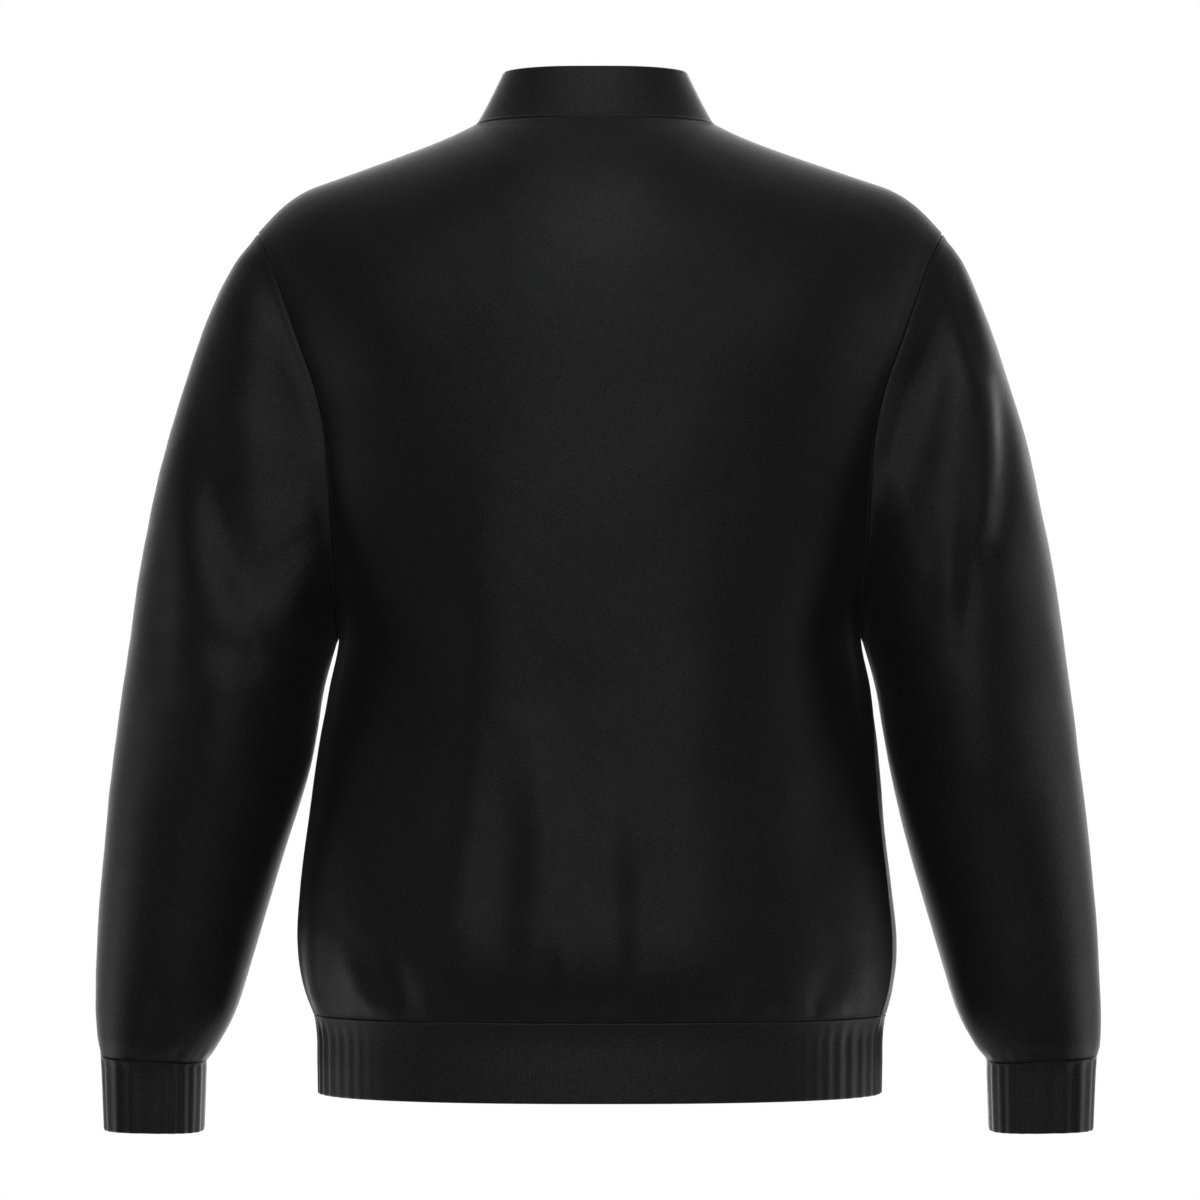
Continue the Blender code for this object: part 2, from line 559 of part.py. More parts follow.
def main():
    for old in list(bpy.data.objects):
        bpy.data.objects.remove(old, do_unlink=True)

    neck = [NECK_HALF * math.sin(math.pi / 2 * step / NECK_STEPS) for step in range(NECK_STEPS + 1)]
    shoulder = list(SHOULDER_HALF * np.linspace(NECK_HALF / SHOULDER_HALF, 1, SHOULDER_STEPS + 1)[1:])
    half = neck + shoulder
    back_across = [across_for(BACK, x) for x in half]
    front_across = [across_for(FRONT, x) for x in [0, OVERLAP_HALF] + half[1:]]
    back_across = np.array([-share for share in back_across[:0:-1]] + back_across)
    back, back_facing = torso_panel(BACK, LEFT, back_across, FOLDS["back"])
    front_across = np.array([-front_across[1]] + front_across)
    left, left_facing = torso_panel(FRONT, LEFT, front_across, FOLDS["front"])
    right, right_facing = torso_panel(FRONT, RIGHT, front_across, FOLDS["front"], cover=OVERLAP_DEPTH)

    panels = [
        Panel("back", back, back_facing, CLOTH_WALL, CLOTH_COLOUR),
        Panel("front_left", left, left_facing, CLOTH_WALL, CLOTH_COLOUR),
        Panel("front_right", right, right_facing, CLOTH_WALL, CLOTH_COLOUR),
    ]
    for side, name, front, edge in ((LEFT, "left", left, back[:, -1]), (RIGHT, "right", right, back[:, 0])):
        over_back = edge[BODY_ROWS:][::-1]
        up_front = front[BODY_ROWS:, -1]
        armhole = np.concatenate([over_back, up_front[1:-1]])
        sleeve = sleeve_grid(side, armhole, FOLDS["sleeve_" + name])
        panels.append(Panel("sleeve_" + name, sleeve, -side, CLOTH_WALL, CLOTH_COLOUR, closed=True))
        angles = np.linspace(0, 2 * math.pi, 2 * ARMHOLE_STEPS + 1)[:-1]
        cuff = np.array([ring_points(CUFF, side, float(row[0]), angles) for row in CUFF])
        cuff[0] = sleeve[-1]
        panels.append(Panel("cuff_" + name, cuff, -side, RIB_WALL, RIB_COLOUR, closed=True))

    first = 1 + NECK_STEPS
    neck_left = left[-1, 1:first + 2]
    neck_right = right[-1, 1:first + 2]
    middle = len(half) - 1
    neck_back = back[-1, middle - NECK_STEPS:middle + NECK_STEPS + 1]
    seam = np.concatenate([neck_right[:-1], neck_back, neck_left[-2::-1]])
    panels.append(Panel("collar", collar_grid(seam), -1, RIB_WALL, RIB_COLOUR))
    hem = np.concatenate([right[0, :-1], back[0], left[0, -2::-1]])
    band = band_grid(hem)[::-1]
    panels.append(Panel("hem_band", band, -1, RIB_WALL, RIB_COLOUR))

    for panel in panels:
        panel.outer = panel.points.copy()
        panel.inner = panel.points - panel.normals * panel.wall
    share_seams(panels)
    for panel in panels:
        build_panel(panel)
    for number, height in enumerate(SNAP_HEIGHTS, 1):
        middle_line = left[:, 1] if height > HEM_SEAM_HEIGHT else band[:, -2]
        add_snap(f"snap_{number}", middle_line, height)


main()
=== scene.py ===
import math

import bmesh
import bpy
import numpy as np
from mathutils import Matrix, Vector


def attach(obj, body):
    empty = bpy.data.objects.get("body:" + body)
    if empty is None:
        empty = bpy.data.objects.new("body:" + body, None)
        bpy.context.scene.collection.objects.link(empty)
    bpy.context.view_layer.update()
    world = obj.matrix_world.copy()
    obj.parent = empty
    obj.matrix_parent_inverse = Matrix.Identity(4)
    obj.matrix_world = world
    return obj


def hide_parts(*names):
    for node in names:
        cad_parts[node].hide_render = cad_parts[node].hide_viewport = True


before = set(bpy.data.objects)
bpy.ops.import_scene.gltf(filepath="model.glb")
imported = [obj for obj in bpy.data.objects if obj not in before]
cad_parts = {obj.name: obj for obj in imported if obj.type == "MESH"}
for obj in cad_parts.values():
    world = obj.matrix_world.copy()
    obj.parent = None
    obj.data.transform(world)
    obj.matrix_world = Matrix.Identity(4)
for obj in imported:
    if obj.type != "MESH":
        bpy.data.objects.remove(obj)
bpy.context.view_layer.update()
scene = bpy.context.scene
bpy.ops.object.select_all(action="DESELECT")
print("frame loaded:", len(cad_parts), "solids")

back, front = 1, -1
left, right = 1, -1
tiny = 1e-12  # keeps a length of nothing from dividing


def columns(names, rows):
    # a table's rows in millimetres as named columns in metres, the first of which gives the place
    table = zip(names.split(), np.array(rows, float).T)
    return {name: values / (1 if name in ("station", "squareness") else 1000) for name, values in table}


# metres; the wearer faces -Y with the left arm at +X, and the neck opening's middle is the origin
form = {
    "neckHalf": 0.0875, "neckShift": 0.0035, "neckCrown": 0.025, "neckRunout": 0.02,
    "neckDepth": {back: 0.058, front: -0.078},
    "shoulderHalf": 0.25, "shoulderSlope": 0.345, "shoulderDepth": -0.005,
    "tipStart": 0.205, "tipDrop": 0.0196, "tipPower": 2.2, "tipHeight": -0.079,
    "underarm": -0.372, "hemSeam": -0.648,
    "rollStart": {back: 0.5, front: 0.3}, "rollPower": {back: 2.0, front: 1.5},
    "tipRollStart": 0.5, "tipRollPower": 2.0,
    "armholeHollow": {back: 0.0, front: 0.006},
    "sideMiddle": 0.003, "swing": 0.0025, "waistRise": 0.22, "sectionPower": 0.87,
    "sideSeamAngle": {left: math.radians(83), right: math.radians(75)}, "sideSeamTurn": 0.65,
    "overlapHalf": 0.015, "overlapEnd": 0.034, "overlapDepth": 0.0034,
}

torsoSizes = columns("height halfWidth back front", (
    (-648, 208.5, 108, -116), (-631, 214.5, 115, -124),
    (-613, 218, 120, -130), (-595, 219, 121.5, -132),
    (-558, 216.5, 119, -131), (-504, 210, 116.5, -130),
    (-449, 203.5, 116.5, -132), (-412, 197, 118, -134.5),
    (-372, 190, 120.5, -136.5), (-340, 195, 123, -137.5),
    (-300, 203.5, 125.5, -137), (-260, 210.5, 127, -134.5),
    (-225, 215.5, 127.5, -132), (-170, 215.5, 127.5, -132),
))

armholeSizes = columns("height halfWidth", (
    (-372, 190), (-340, 190.5), (-300, 192.5), (-260, 194.5), (-228, 197.5),
    (-195, 204.5), (-160, 217), (-130, 228), (-105, 237.5), (-79, 250),
))

tubeColumns = "station outerX outerZ innerX innerZ middleY halfDepth bow squareness"
sleeveSizes = columns(tubeColumns, (
    (0, 250, -79, 190, -372, -1, 64, 22, 2), (1, 267.5, -102.5, 192.5, -381, -1, 68, 18, 2),
    (2, 285, -142, 195.5, -391, 0, 72, 13, 2), (3, 300, -188, 199, -403, 0, 75, 8, 2),
    (4, 314.5, -235, 202.5, -418, -1, 76, 4, 2), (5, 326.5, -289, 206, -440, -2, 76, 1, 2),
    (6, 337, -348, 211, -467, -4, 74, 0, 2), (7, 346.2, -412, 219, -498, -8, 71, 0, 2.1),
    (8, 355.5, -480, 229.3, -533, -13, 66, 0, 2.1), (9, 362.2, -540, 241.4, -573, -18, 62, 0, 2.1),
    (10, 366.8, -593, 253.4, -613, -22, 58, 0, 2.1), (11, 368.5, -636, 264.4, -647, -25, 53, 0, 2.2),
    (12, 368, -665, 276, -670, -26, 48, 0, 2.3), (13, 365.5, -681, 286.8, -685, -27, 41, 0, 2.6),
))
cuffSizes = columns(tubeColumns, (
    (13, 365.5, -681, 286.8, -685, -27, 41, 0, 2.6),
    (14, 364.5, -693, 287, -696, -27, 39, 0, 2.7),
    (15, 362.8, -735.5, 288.5, -736.5, -28, 38, 0, 2.8),
))
swaySizes = columns("station outer inner", (  # both arms hang a little towards the wearer's left
    (0, 0, 0), (2, 1.6, 0), (4, 2.5, 0), (6, 2.5, 0),
    (8, 2.5, 2.2), (10, 1.8, 2.5), (12, 1, 2.5), (15, 1, 2.5),
))
bandSizes = columns("height halfWidth back front", (
    (-648, 208.5, 108, -116), (-660, 206, 106, -114),
    (-684, 205.3, 105.5, -113.5), (-706, 205, 105.5, -113),
))


def readColumn(table, name, position):
    # a smooth curve through the column's rows
    places = next(iter(table.values()))
    values = table[name]
    slopes = np.gradient(values, places)
    row = np.clip(np.searchsorted(places, position) - 1, 0, len(places) - 2)
    step = places[row + 1] - places[row]
    share = np.clip((position - places[row]) / step, 0, 1)
    rest = 1 - share
    start = (1 + 2 * share) * rest**2 * values[row] + share * rest**2 * step * slopes[row]
    end = (1 + 2 * rest) * share**2 * values[row + 1] - rest * share**2 * step * slopes[row + 1]
    return start + end


def softStep(value):
    value = np.clip(value, 0, 1)
    return value**2 * (3 - 2 * value)


def blend(start, end, share):
    return start + (end - start) * share


def signedPower(value, power):
    return np.sign(value) * np.abs(value) ** power


def unit(vectors):
    return vectors / np.maximum(np.linalg.norm(vectors, axis=-1, keepdims=True), tiny)


def lengths(points, axis=0):
    # how far each point lies from the first along this axis
    steps = np.linalg.norm(np.diff(points, axis=axis), axis=-1)
    start = np.zeros_like(np.take(steps, [0], axis=axis))
    return np.cumsum(np.concatenate([start, steps], axis=axis), axis=axis)


def valuesAt(spots, places, values):
    return np.stack([np.interp(spots, places, values[:, axis]) for axis in range(3)], -1)


# the body's form, which the neck seam and the armholes cut: up is 0 at the hem seam, 1 at the underarm,
# 1.5 where the shoulders start to roll over and 2 at the top edge
rollUp, topUp = 1.5, 2


def openAngle(face):
    height = blend(form["underarm"], form["tipHeight"], form["tipRollStart"])
    half = readColumn(torsoSizes, "halfWidth", height)
    share = (readColumn(armholeSizes, "halfWidth", height) - form["armholeHollow"][face]) / half
    return math.asin(share ** (1 / form["sectionPower"]))


def acrossFor(face, xTop):
    share = (xTop / form["shoulderHalf"]) ** (1 / form["sectionPower"])
    return math.asin(share * math.sin(openAngle(face))) / openAngle(face)


def shoulderLine(x):
    beyond = np.clip(np.abs(x) - form["neckHalf"], 0, None)
    crown = form["neckCrown"] * np.clip(1 - (x / form["neckHalf"]) ** 2, 0, None)
    neckSlope = 2 * form["neckCrown"] / form["neckHalf"]
    fading = 1 - np.exp(-beyond / form["neckRunout"])
    runout = form["neckRunout"] * (neckSlope - form["shoulderSlope"]) * fading
    tip = np.clip((np.abs(x) - form["tipStart"]) / (form["shoulderHalf"] - form["tipStart"]), 0, 1)
    return crown - form["shoulderSlope"] * beyond - runout - form["tipDrop"] * tip ** form["tipPower"]


def rollShape(face, xTop):
    share = softStep(np.abs(xTop) / form["shoulderHalf"])
    start = blend(form["rollStart"][face], form["tipRollStart"], share)
    power = blend(form["rollPower"][face], form["tipRollPower"], share)
    tall = shoulderLine(xTop) - form["underarm"]
    return form["underarm"] + start * tall, (1 - start) * tall, 2 / power


def columnHeight(face, xTop, up, roll):
    rollHeight, rise, power = rollShape(face, xTop)
    turn = math.pi * np.clip(up - 1, 0, rollUp - 1)
    body = blend(form["hemSeam"], form["underarm"], np.clip(up, 0, 1))
    return body + (rollHeight - form["underarm"]) * (1 - np.cos(turn)) + rise * np.sin(roll) ** power


def torsoPoints(face, side, across, up):
    power = form["sectionPower"]
    topAngle = openAngle(face)
    xTop = form["shoulderHalf"] * signedPower(np.sin(topAngle * across) / math.sin(topAngle), power)
    rolled = np.clip((up - rollUp) / (topUp - rollUp), 0, 1)
    edgeHeight = columnHeight(face, form["shoulderHalf"], up, math.pi / 2 * rolled)
    hollow = form["armholeHollow"][face] * np.sin(math.pi * np.clip(up - 1, 0, 1)) ** 2
    edgeHalf = readColumn(armholeSizes, "halfWidth", edgeHeight) - hollow
    halfWidth = readColumn(torsoSizes, "halfWidth", edgeHeight)
    halfWidth = np.where(up > rollUp, edgeHalf / math.sin(topAngle) ** power, halfWidth)

    seamAngle = np.where(side > 0, form["sideSeamAngle"][left], form["sideSeamAngle"][right])
    turned = softStep((up - form["sideSeamTurn"]) / (1 - form["sideSeamTurn"]))
    seamAngle = blend(seamAngle, math.pi / 2, turned)
    if face == front:
        seamAngle = math.pi - seamAngle
    cutAngle = np.arcsin(np.clip(edgeHalf / halfWidth, 0, 1) ** (1 / power))
    angle = np.where(up < 1, seamAngle, cutAngle) * across

    centreHeight = columnHeight(face, 0.0, np.minimum(up, rollUp), 0.0)
    depths = {
        name: readColumn(torsoSizes, name, centreHeight) - form["sideMiddle"] for name in ("back", "front")}
    deep = signedPower(np.cos(angle), power)
    own, other = ("back", "front") if face == back else ("front", "back")
    full = form["sideMiddle"] + np.where(deep > 0, depths[own] * deep, -depths[other] * deep)

    shoulderDepth = form["shoulderDepth"]
    arc = np.sqrt(np.clip(1 - (xTop / form["neckHalf"]) ** 2, 0, 1))
    neck = (form["neckDepth"][face] - shoulderDepth) * arc
    rollPower = rollShape(face, xTop)[2]
    lastRoll = np.arccos(np.clip(neck / (full - shoulderDepth), 0, 1) ** (1 / rollPower))
    roll = lastRoll * rolled
    depth = shoulderDepth + (full - shoulderDepth) * np.cos(roll) ** rollPower
    depth = np.where(rolled > 0, depth, full)
    x = side * halfWidth * signedPower(np.sin(angle), power)
    nearNeck = 1 - softStep((np.abs(xTop) - form["neckHalf"]) / (form["shoulderHalf"] - form["neckHalf"]))
    waist = np.sin(math.pi * np.clip((edgeHeight - form["hemSeam"]) / form["waistRise"], 0, 1))
    x = x + form["neckShift"] * nearNeck * softStep(rolled) + form["swing"] * waist
    return np.stack([x, depth, columnHeight(face, xTop, up, roll)], -1)


def tubeGrid(table, side, first, last, settings):
    # the angle runs from a sleeve's outer edge (0) over its back to its inner edge (pi)
    stations = np.linspace(first, last, settings["rings"] + 1)
    angles = np.linspace(0, 2 * math.pi, settings["around"] + 1)[:-1]
    station, angle = np.meshgrid(stations, angles, indexing="ij")
    size = {name: readColumn(table, name, station) for name in list(table)[1:]}
    out = signedPower(np.cos(angle), 2 / size["squareness"])
    roundBack = signedPower(np.sin(angle), 2 / size["squareness"])
    outerX = size["outerX"] + side * readColumn(swaySizes, "outer", station)
    innerX = size["innerX"] + side * readColumn(swaySizes, "inner", station)
    x = (outerX + innerX) / 2 + (outerX - innerX) / 2 * out - size["bow"] * roundBack**2
    z = (size["outerZ"] + size["innerZ"]) / 2 + (size["outerZ"] - size["innerZ"]) / 2 * out
    points = np.stack([side * x, size["middleY"] + size["halfDepth"] * roundBack, z], -1)
    return points, station, angle


def gridNormals(points, closed=False):
    along = np.gradient(points, axis=0)
    if closed:
        around = np.roll(points, -1, axis=1) - np.roll(points, 1, axis=1)
    else:
        around = np.gradient(points, axis=1)
    return unit(np.cross(around, along))


# folds: soft ridges (height above zero) and troughs, each on its own curve over the cloth; millimetres:
# x and z of the curve's start, middle and end, its width, how many times as wide it is on the right
# of its way, and its height
folds = {}
folds["back"] = (
    (140, -300, 148, -450, 140, -590, 42, 1, -7.8), (82, -260, 78, -400, 88, -500, 18, 2, 3.2),
    (92, -450, 98, -535, 110, -628, 24, 0.8, 3.6), (68, -450, 68, -560, 71, -645, 19, 1, -1.6),
    (40, -440, 38, -550, 48, -640, 18, 1.4, 3.2), (36, -590, 38, -618, 41, -646, 8, 1, -1.6),
    (22, -585, 24, -615, 23, -645, 8, 1, 1.3), (50, -370, 20, -450, 12, -540, 20, 1.5, -2.2),
    (-1, -440, -7, -570, -12, -648, 24, 0.55, 2.6), (-34, -500, -30, -580, -26, -645, 12, 1.6, -1.6),
    (-78, -300, -70, -450, -76, -620, 36, 1, 3.6), (-164, -290, -166, -430, -166, -590, 32, 1, -6.8),
    (-112, -570, -114, -610, -110, -647, 16, 1, -1.8), (170, -110, 160, -150, 140, -200, 36, 1, 3),
    (-170, -110, -160, -150, -140, -200, 36, 1, 3), (184, -600, 172, -626, 162, -648, 9, 1, 2.2),
    (150, -598, 142, -624, 135, -648, 9, 1, -2), (200, -560, 205, -615, 207, -647, 9, 1, 2),
    (-192, -590, -188, -622, -184, -647, 12, 1, 1), (-168, -606, -160, -630, -152, -648, 10, 1, -1),
)
folds["front"] = (
    (105, -130, 130, -190, 150, -260, 30, 1, -4), (80, -330, 105, -440, 112, -560, 36, 1, -5.2),
    (56, -470, 60, -550, 58, -632, 19, 1, 3.4), (82, -550, 83, -600, 88, -645, 12, 1, -2.6),
    (165, -420, 160, -500, 150, -620, 26, 1, 3.4), (132, -590, 128, -620, 126, -646, 10, 1, -1.8),
    (180, -600, 182, -628, 178, -647, 10, 1, 2),
)
folds["sleeveLeftBack"] = (
    (284, -205, 281, -330, 220, -362, 21, 2.4, -11.2), (238, -165, 230, -240, 218, -318, 18, 1, -4.4),
    (264, -105, 258, -140, 250, -180, 20, 1, 2.6), (312, -270, 320, -340, 318, -420, 13, 1, -2.2),
    (285, -372, 258, -420, 288, -520, 30, 1, 4), (236, -385, 258, -398, 290, -368, 16, 1, -3),
    (262, -600, 278, -645, 296, -683, 10, 1, 2.2), (316, -610, 322, -648, 330, -682, 12, 1, -1.6),
)
folds["sleeveRightBack"] = (
    (251, -118, 291, -239, 263, -330, 17, 1.2, 5.2), (257, -145, 291, -239, 265, -320, 9, 1, 1.4),
    (288, -190, 300, -250, 283, -316, 9, 1, -2.8), (266, -105, 262, -225, 230, -322, 16, 1, 2.2),
    (248, -145, 238, -215, 208, -290, 17, 2, -5.8), (256, -105, 266, -150, 270, -205, 11, 3.4, -5.2),
    (266, -290, 263, -330, 261, -382, 10, 1, -2.6), (252, -262, 253, -310, 250, -372, 11, 1, 2.4),
    (272, -300, 278, -312, 285, -322, 6, 1, -1.2), (287, -380, 266, -440, 286, -510, 32, 1, 3.8),
    (253, -598, 269, -645, 285, -684, 10, 1, 2.2), (312, -615, 319, -650, 326, -682, 12, 1, -1.6),
)
folds["sleeveLeftFront"] = (
    (236, -170, 250, -240, 236, -310, 20, 1, -4.4), (300, -330, 270, -372, 228, -392, 17, 1, -4),
    (316, -372, 285, -408, 242, -430, 15, 1, 3.2), (322, -430, 296, -462, 256, -478, 16, 1, -2.8),
    (262, -605, 278, -648, 296, -683, 11, 1, 2),
)
folds["sleeveRightFront"] = (
    (230, -180, 246, -250, 232, -320, 19, 1, -4.2), (306, -318, 278, -366, 230, -384, 18, 1, -4.2),
    (312, -380, 280, -412, 240, -422, 14, 1, 3), (326, -438, 298, -474, 252, -494, 17, 1, -2.6),
    (256, -600, 274, -646, 290, -683, 11, 1, 2),
)
crease = {"pieces": 14, "fade": 0.35, "endWidth": 0.8, "endHeight": 0.25}
seam = {"height": 0.00045, "place": 0.0032, "width": 0.0024}


def foldLift(table, x, z):
    share = np.linspace(0, 1, crease["pieces"] + 1)
    first, second, third = (1 - share) ** 2, 2 * share * (1 - share), share**2
    total = np.zeros_like(x)
    for *sizes, bias, height in table:
        xStart, zStart, xMiddle, zMiddle, xEnd, zEnd, width = (size / 1000 for size in sizes)
        lineX = first * xStart + second * xMiddle + third * xEnd
        lineZ = first * zStart + second * zMiddle + third * zEnd
        nearest = np.full_like(x, np.inf)
        along = np.zeros_like(x)
        beside = np.zeros_like(x)
        for piece in range(crease["pieces"]):
            wayX, wayZ = lineX[piece + 1] - lineX[piece], lineZ[piece + 1] - lineZ[piece]
            offX, offZ = x - lineX[piece], z - lineZ[piece]
            spot = np.clip((offX * wayX + offZ * wayZ) / (wayX**2 + wayZ**2), 0, 1)
            distance = np.hypot(offX - spot * wayX, offZ - spot * wayZ)
            side = (offX * wayZ - offZ * wayX) / np.hypot(wayX, wayZ)
            closer = distance < nearest
            along = np.where(closer, (piece + spot) / crease["pieces"], along)
            beside = np.where(closer, side / np.maximum(distance, tiny), beside)
            nearest = np.minimum(nearest, distance)
        ends = softStep(along / crease["fade"]) * softStep((1 - along) / crease["fade"])
        reach = width * blend(1, bias, softStep((1 + beside) / 2)) * blend(crease["endWidth"], 1, ends)
        total += height / 1000 * np.exp(-((nearest / reach) ** 2)) * blend(crease["endHeight"], 1, ends)
    return total


def softened(points, keep, passes):
    # evens out the columns of a grid, except where keep is 0
    for _ in range(passes):
        mean = (points[:, :-2] + points[:, 2:]) / 2
        points[:, 1:-1] += 0.5 * keep[:, 1:-1, None] * (mean - points[:, 1:-1])
    return points


def welt(points, axis, last=False):
    # turned-in allowances raise the cloth just beside a seam at a grid's first or last row or column
    distance = lengths(points, axis)
    if last:
        distance = np.take(distance, [-1], axis=axis) - distance
    return seam["height"] * np.exp(-((distance - seam["place"]) / seam["width"]) ** 2)


waves = {"count": 7, "turn": 6.28, "seeds": {"slow": 0, "quick": 50, "gathers": 90}}


def unevenness(settings, kind, u, v, seed):
    # a few waves in seeded directions, so that no stretch of cloth is dead smooth; the settings give
    # the shortest wave, the longest and the height
    shortest, longest, height = settings[kind]
    chance = np.random.default_rng(seed + waves["seeds"][kind])
    total = np.zeros_like(u)
    for _ in range(waves["count"]):
        length = chance.uniform(shortest, longest)
        way = chance.uniform(0, math.pi)
        phase = chance.uniform(0, waves["turn"])
        total += np.sin(2 * math.pi * (u * math.cos(way) + v * math.sin(way)) / length + phase)
    return height * total / waves["count"]


# walls of cloth, with edges turned in at the seams or folded over where they are free

tuck = {
    # close rows beside an edge, as shares of the radius it turns with, and more of them beside a seam
    "rollShares": (0.0, 0.06, 0.22, 0.5, 0.8, 1.0), "lipShares": (1.3, 1.7, 2.2),
    # a seam's edge runs on under its neighbour, and stands up in a low lip beside the groove
    "roll": 0.0011, "reach": 0.0004, "deeper": 1.2, "lip": 0.00028, "lipPlace": 1.25, "lipWidth": 0.55,
    "leastWall": 0.00004, "leastSlant": 0.1, "lowestSpot": -0.5, "highestSpot": 0.9, "weld": 0.000002,
}


def addEdge(grid, distances):
    # replaces row 0 with close rows at these distances from it
    first, second = grid["points"][0], grid["points"][1]
    way = second - first
    length = np.linalg.norm(way, axis=-1, keepdims=True)
    tangent = unit(np.gradient(first, axis=0))
    alike = np.sum(way / length * tangent, -1, keepdims=True)
    slant = np.sqrt(np.clip(1 - alike**2, tuck["leastSlant"], 1))
    spots = [
        np.clip(distance / slant / length, tuck["lowestSpot"], tuck["highestSpot"]) for distance in distances]
    result = {}
    for name, values in grid.items():
        new = np.array([values[0] * (1 - spot) + values[1] * spot for spot in spots])
        result[name] = np.r_[new, values[1:]]
    return result


def turned(grid, edge, again=False):
    # the grid with this edge as its row 0, or back again
    across = edge in ("first", "last")
    flip = edge in ("high", "last")
    result = {}
    for name, values in grid.items():
        if flip and again:
            values = values[::-1]
        if across:
            values = np.swapaxes(values, 0, 1)
        if flip and not again:
            values = values[::-1]
        result[name] = values
    return result


def wall(points, normals, uvs, settings):
    # the outer and inner faces: a "seam" edge rolls in to its neighbour, a "fold" edge is round
    thickness = settings["thickness"]
    grid = {"points": points, "normals": normals, "uvs": uvs}
    for edge, kind in zip(("low", "high", "first", "last"), settings["edges"]):
        grid = turned(grid, edge)
        radius = thickness / 2 if kind == "fold" else tuck["roll"]
        shares = tuck["rollShares"] + (tuck["lipShares"] if kind == "seam" else ())
        distances = [radius * share for share in shares]
        sinks = [radius * (1 - math.sqrt(1 - max(1 - share, 0) ** 2)) for share in shares]
        if kind == "seam":
            lips = [math.exp(-((share - tuck["lipPlace"]) / tuck["lipWidth"]) ** 2) for share in shares]
            sinks = [sink - tuck["lip"] * lip for sink, lip in zip(sinks, lips)]
            distances.insert(0, -tuck["reach"])
            sinks.insert(0, radius * tuck["deeper"])
        grid = addEdge(grid, distances)
        sink = np.zeros(grid["points"].shape[:2] + (1,))
        sink[:len(sinks)] = np.array(sinks)[:, None, None]
        grid["outer" + edge] = sink
        grid["inner" + edge] = sink if kind == "fold" else sink * 0
        grid = turned(grid, edge, again=True)
    outerSinks, innerSinks = (
        np.array([values for name, values in grid.items() if name.startswith(face)])
        for face in ("outer", "inner"))
    outerSink = np.where(outerSinks.max(axis=0) > 0, outerSinks.max(axis=0), outerSinks.min(axis=0))
    innerSink = np.maximum(thickness - innerSinks.max(axis=0), outerSink + tuck["leastWall"])
    facing = unit(grid["normals"])
    return grid["points"] - facing * outerSink, grid["points"] - facing * innerSink, grid["uvs"]


def shareSeam(lineA, normalsA, lineB, normalsB):
    # both pieces turn in the same way at the seam between them
    sharesA, sharesB = (lengths(line) / lengths(line)[-1] for line in (lineA, lineB))
    fromB = valuesAt(sharesA, sharesB, normalsB)
    fromA = valuesAt(sharesB, sharesA, normalsA)
    return unit(normalsA + fromB), unit(normalsB + fromA)


def wrapped(values):
    return np.r_[values, values[:1]]


def gridFaces(rows, cols, offset, turn):
    row, col = np.meshgrid(np.arange(rows - 1), np.arange(cols - 1), indexing="ij")
    corner = row * cols + col
    quads = np.stack([corner, corner + 1, corner + cols + 1, corner + cols], -1).reshape(-1, 4) + offset
    return quads[:, ::-1] if turn else quads


def makeMesh(name, points, quads, uvs, material):
    mesh = bpy.data.meshes.new(name)
    mesh.from_pydata(points.tolist(), [], quads.tolist())
    layer = mesh.uv_layers.new(name="cloth")
    layer.data.foreach_set("uv", uvs[quads.ravel()].astype(np.float32).ravel())
    mesh.validate()
    mesh.shade_smooth()
    mesh.materials.append(material)
    piece = bpy.data.objects.new(name, mesh)
    scene.collection.objects.link(piece)
    return piece


def clothUvs(points):
    # the cloth's own distances in metres, across and up
    across = lengths(points, 1)
    middle = across[:, across.shape[1] // 2][:, None]
    return np.stack([across - middle, lengths(points)], -1)


def clothPiece(name, points, normals, facing, settings, material, uvs=None):
    closed = len(settings["edges"]) == 2
    if closed:
        points, normals = (np.concatenate([values, values[:, :1]], axis=1) for values in (points, normals))
    if uvs is None:
        uvs = clothUvs(points)
    outer, inner, uvs = wall(points, normals, uvs, settings)
    rows, cols = outer.shape[:2]
    layer = rows * cols
    turn = facing < 0
    faces = [gridFaces(rows, cols, 0, turn), gridFaces(rows, cols, layer, not turn)]
    index = np.arange(layer).reshape(rows, cols)
    rims = [index[0, ::-1], index[-1]]
    if not closed:
        rims += [index[:, 0], index[::-1, -1]]
    for line in rims:
        quad = np.stack([line[:-1], line[:-1] + layer, line[1:] + layer, line[1:]], -1)
        faces.append(quad[:, ::-1] if turn else quad)
    corners = np.r_[outer.reshape(-1, 3), inner.reshape(-1, 3)]
    uvs = np.tile(uvs.reshape(-1, 2), (2, 1))
    piece = makeMesh(name, corners, np.concatenate(faces), uvs, material)
    if closed:
        weld(piece)
    print(f"{name}: {2 * len(piece.data.polygons)} triangles")
    return piece, outer


def weld(piece):
    # a tube's first and last columns lie on each other
    shell = bmesh.new()
    shell.from_mesh(piece.data)
    bmesh.ops.remove_doubles(shell, verts=shell.verts, dist=tuck["weld"])
    shell.to_mesh(piece.data)
    shell.free()
    piece.data.update()


# materials

def linear(hexColour):
    channels = [int(hexColour[spot:spot + 2], 16) / 255 for spot in (1, 3, 5)]
    return [c / 12.92 if c <= 0.04045 else ((c + 0.055) / 1.055) ** 2.4 for c in channels] + [1.0]


def addNode(owner, kind, settings=None, links=None):
    # links: socket of the new node -> (other node, its output)
    node = owner.node_tree.nodes.new("ShaderNode" + kind)
    for name, value in (settings or {}).items():
        if isinstance(name, int) or name in node.inputs:
            node.inputs[name].default_value = value
        else:
            setattr(node, name, value)
    for socket, source in (links or {}).items():
        connect(owner, source, node, socket)
    return node


def connect(owner, source, target, socket):
    node, output = source
    owner.node_tree.links.new(node.outputs[output], target.inputs[socket])


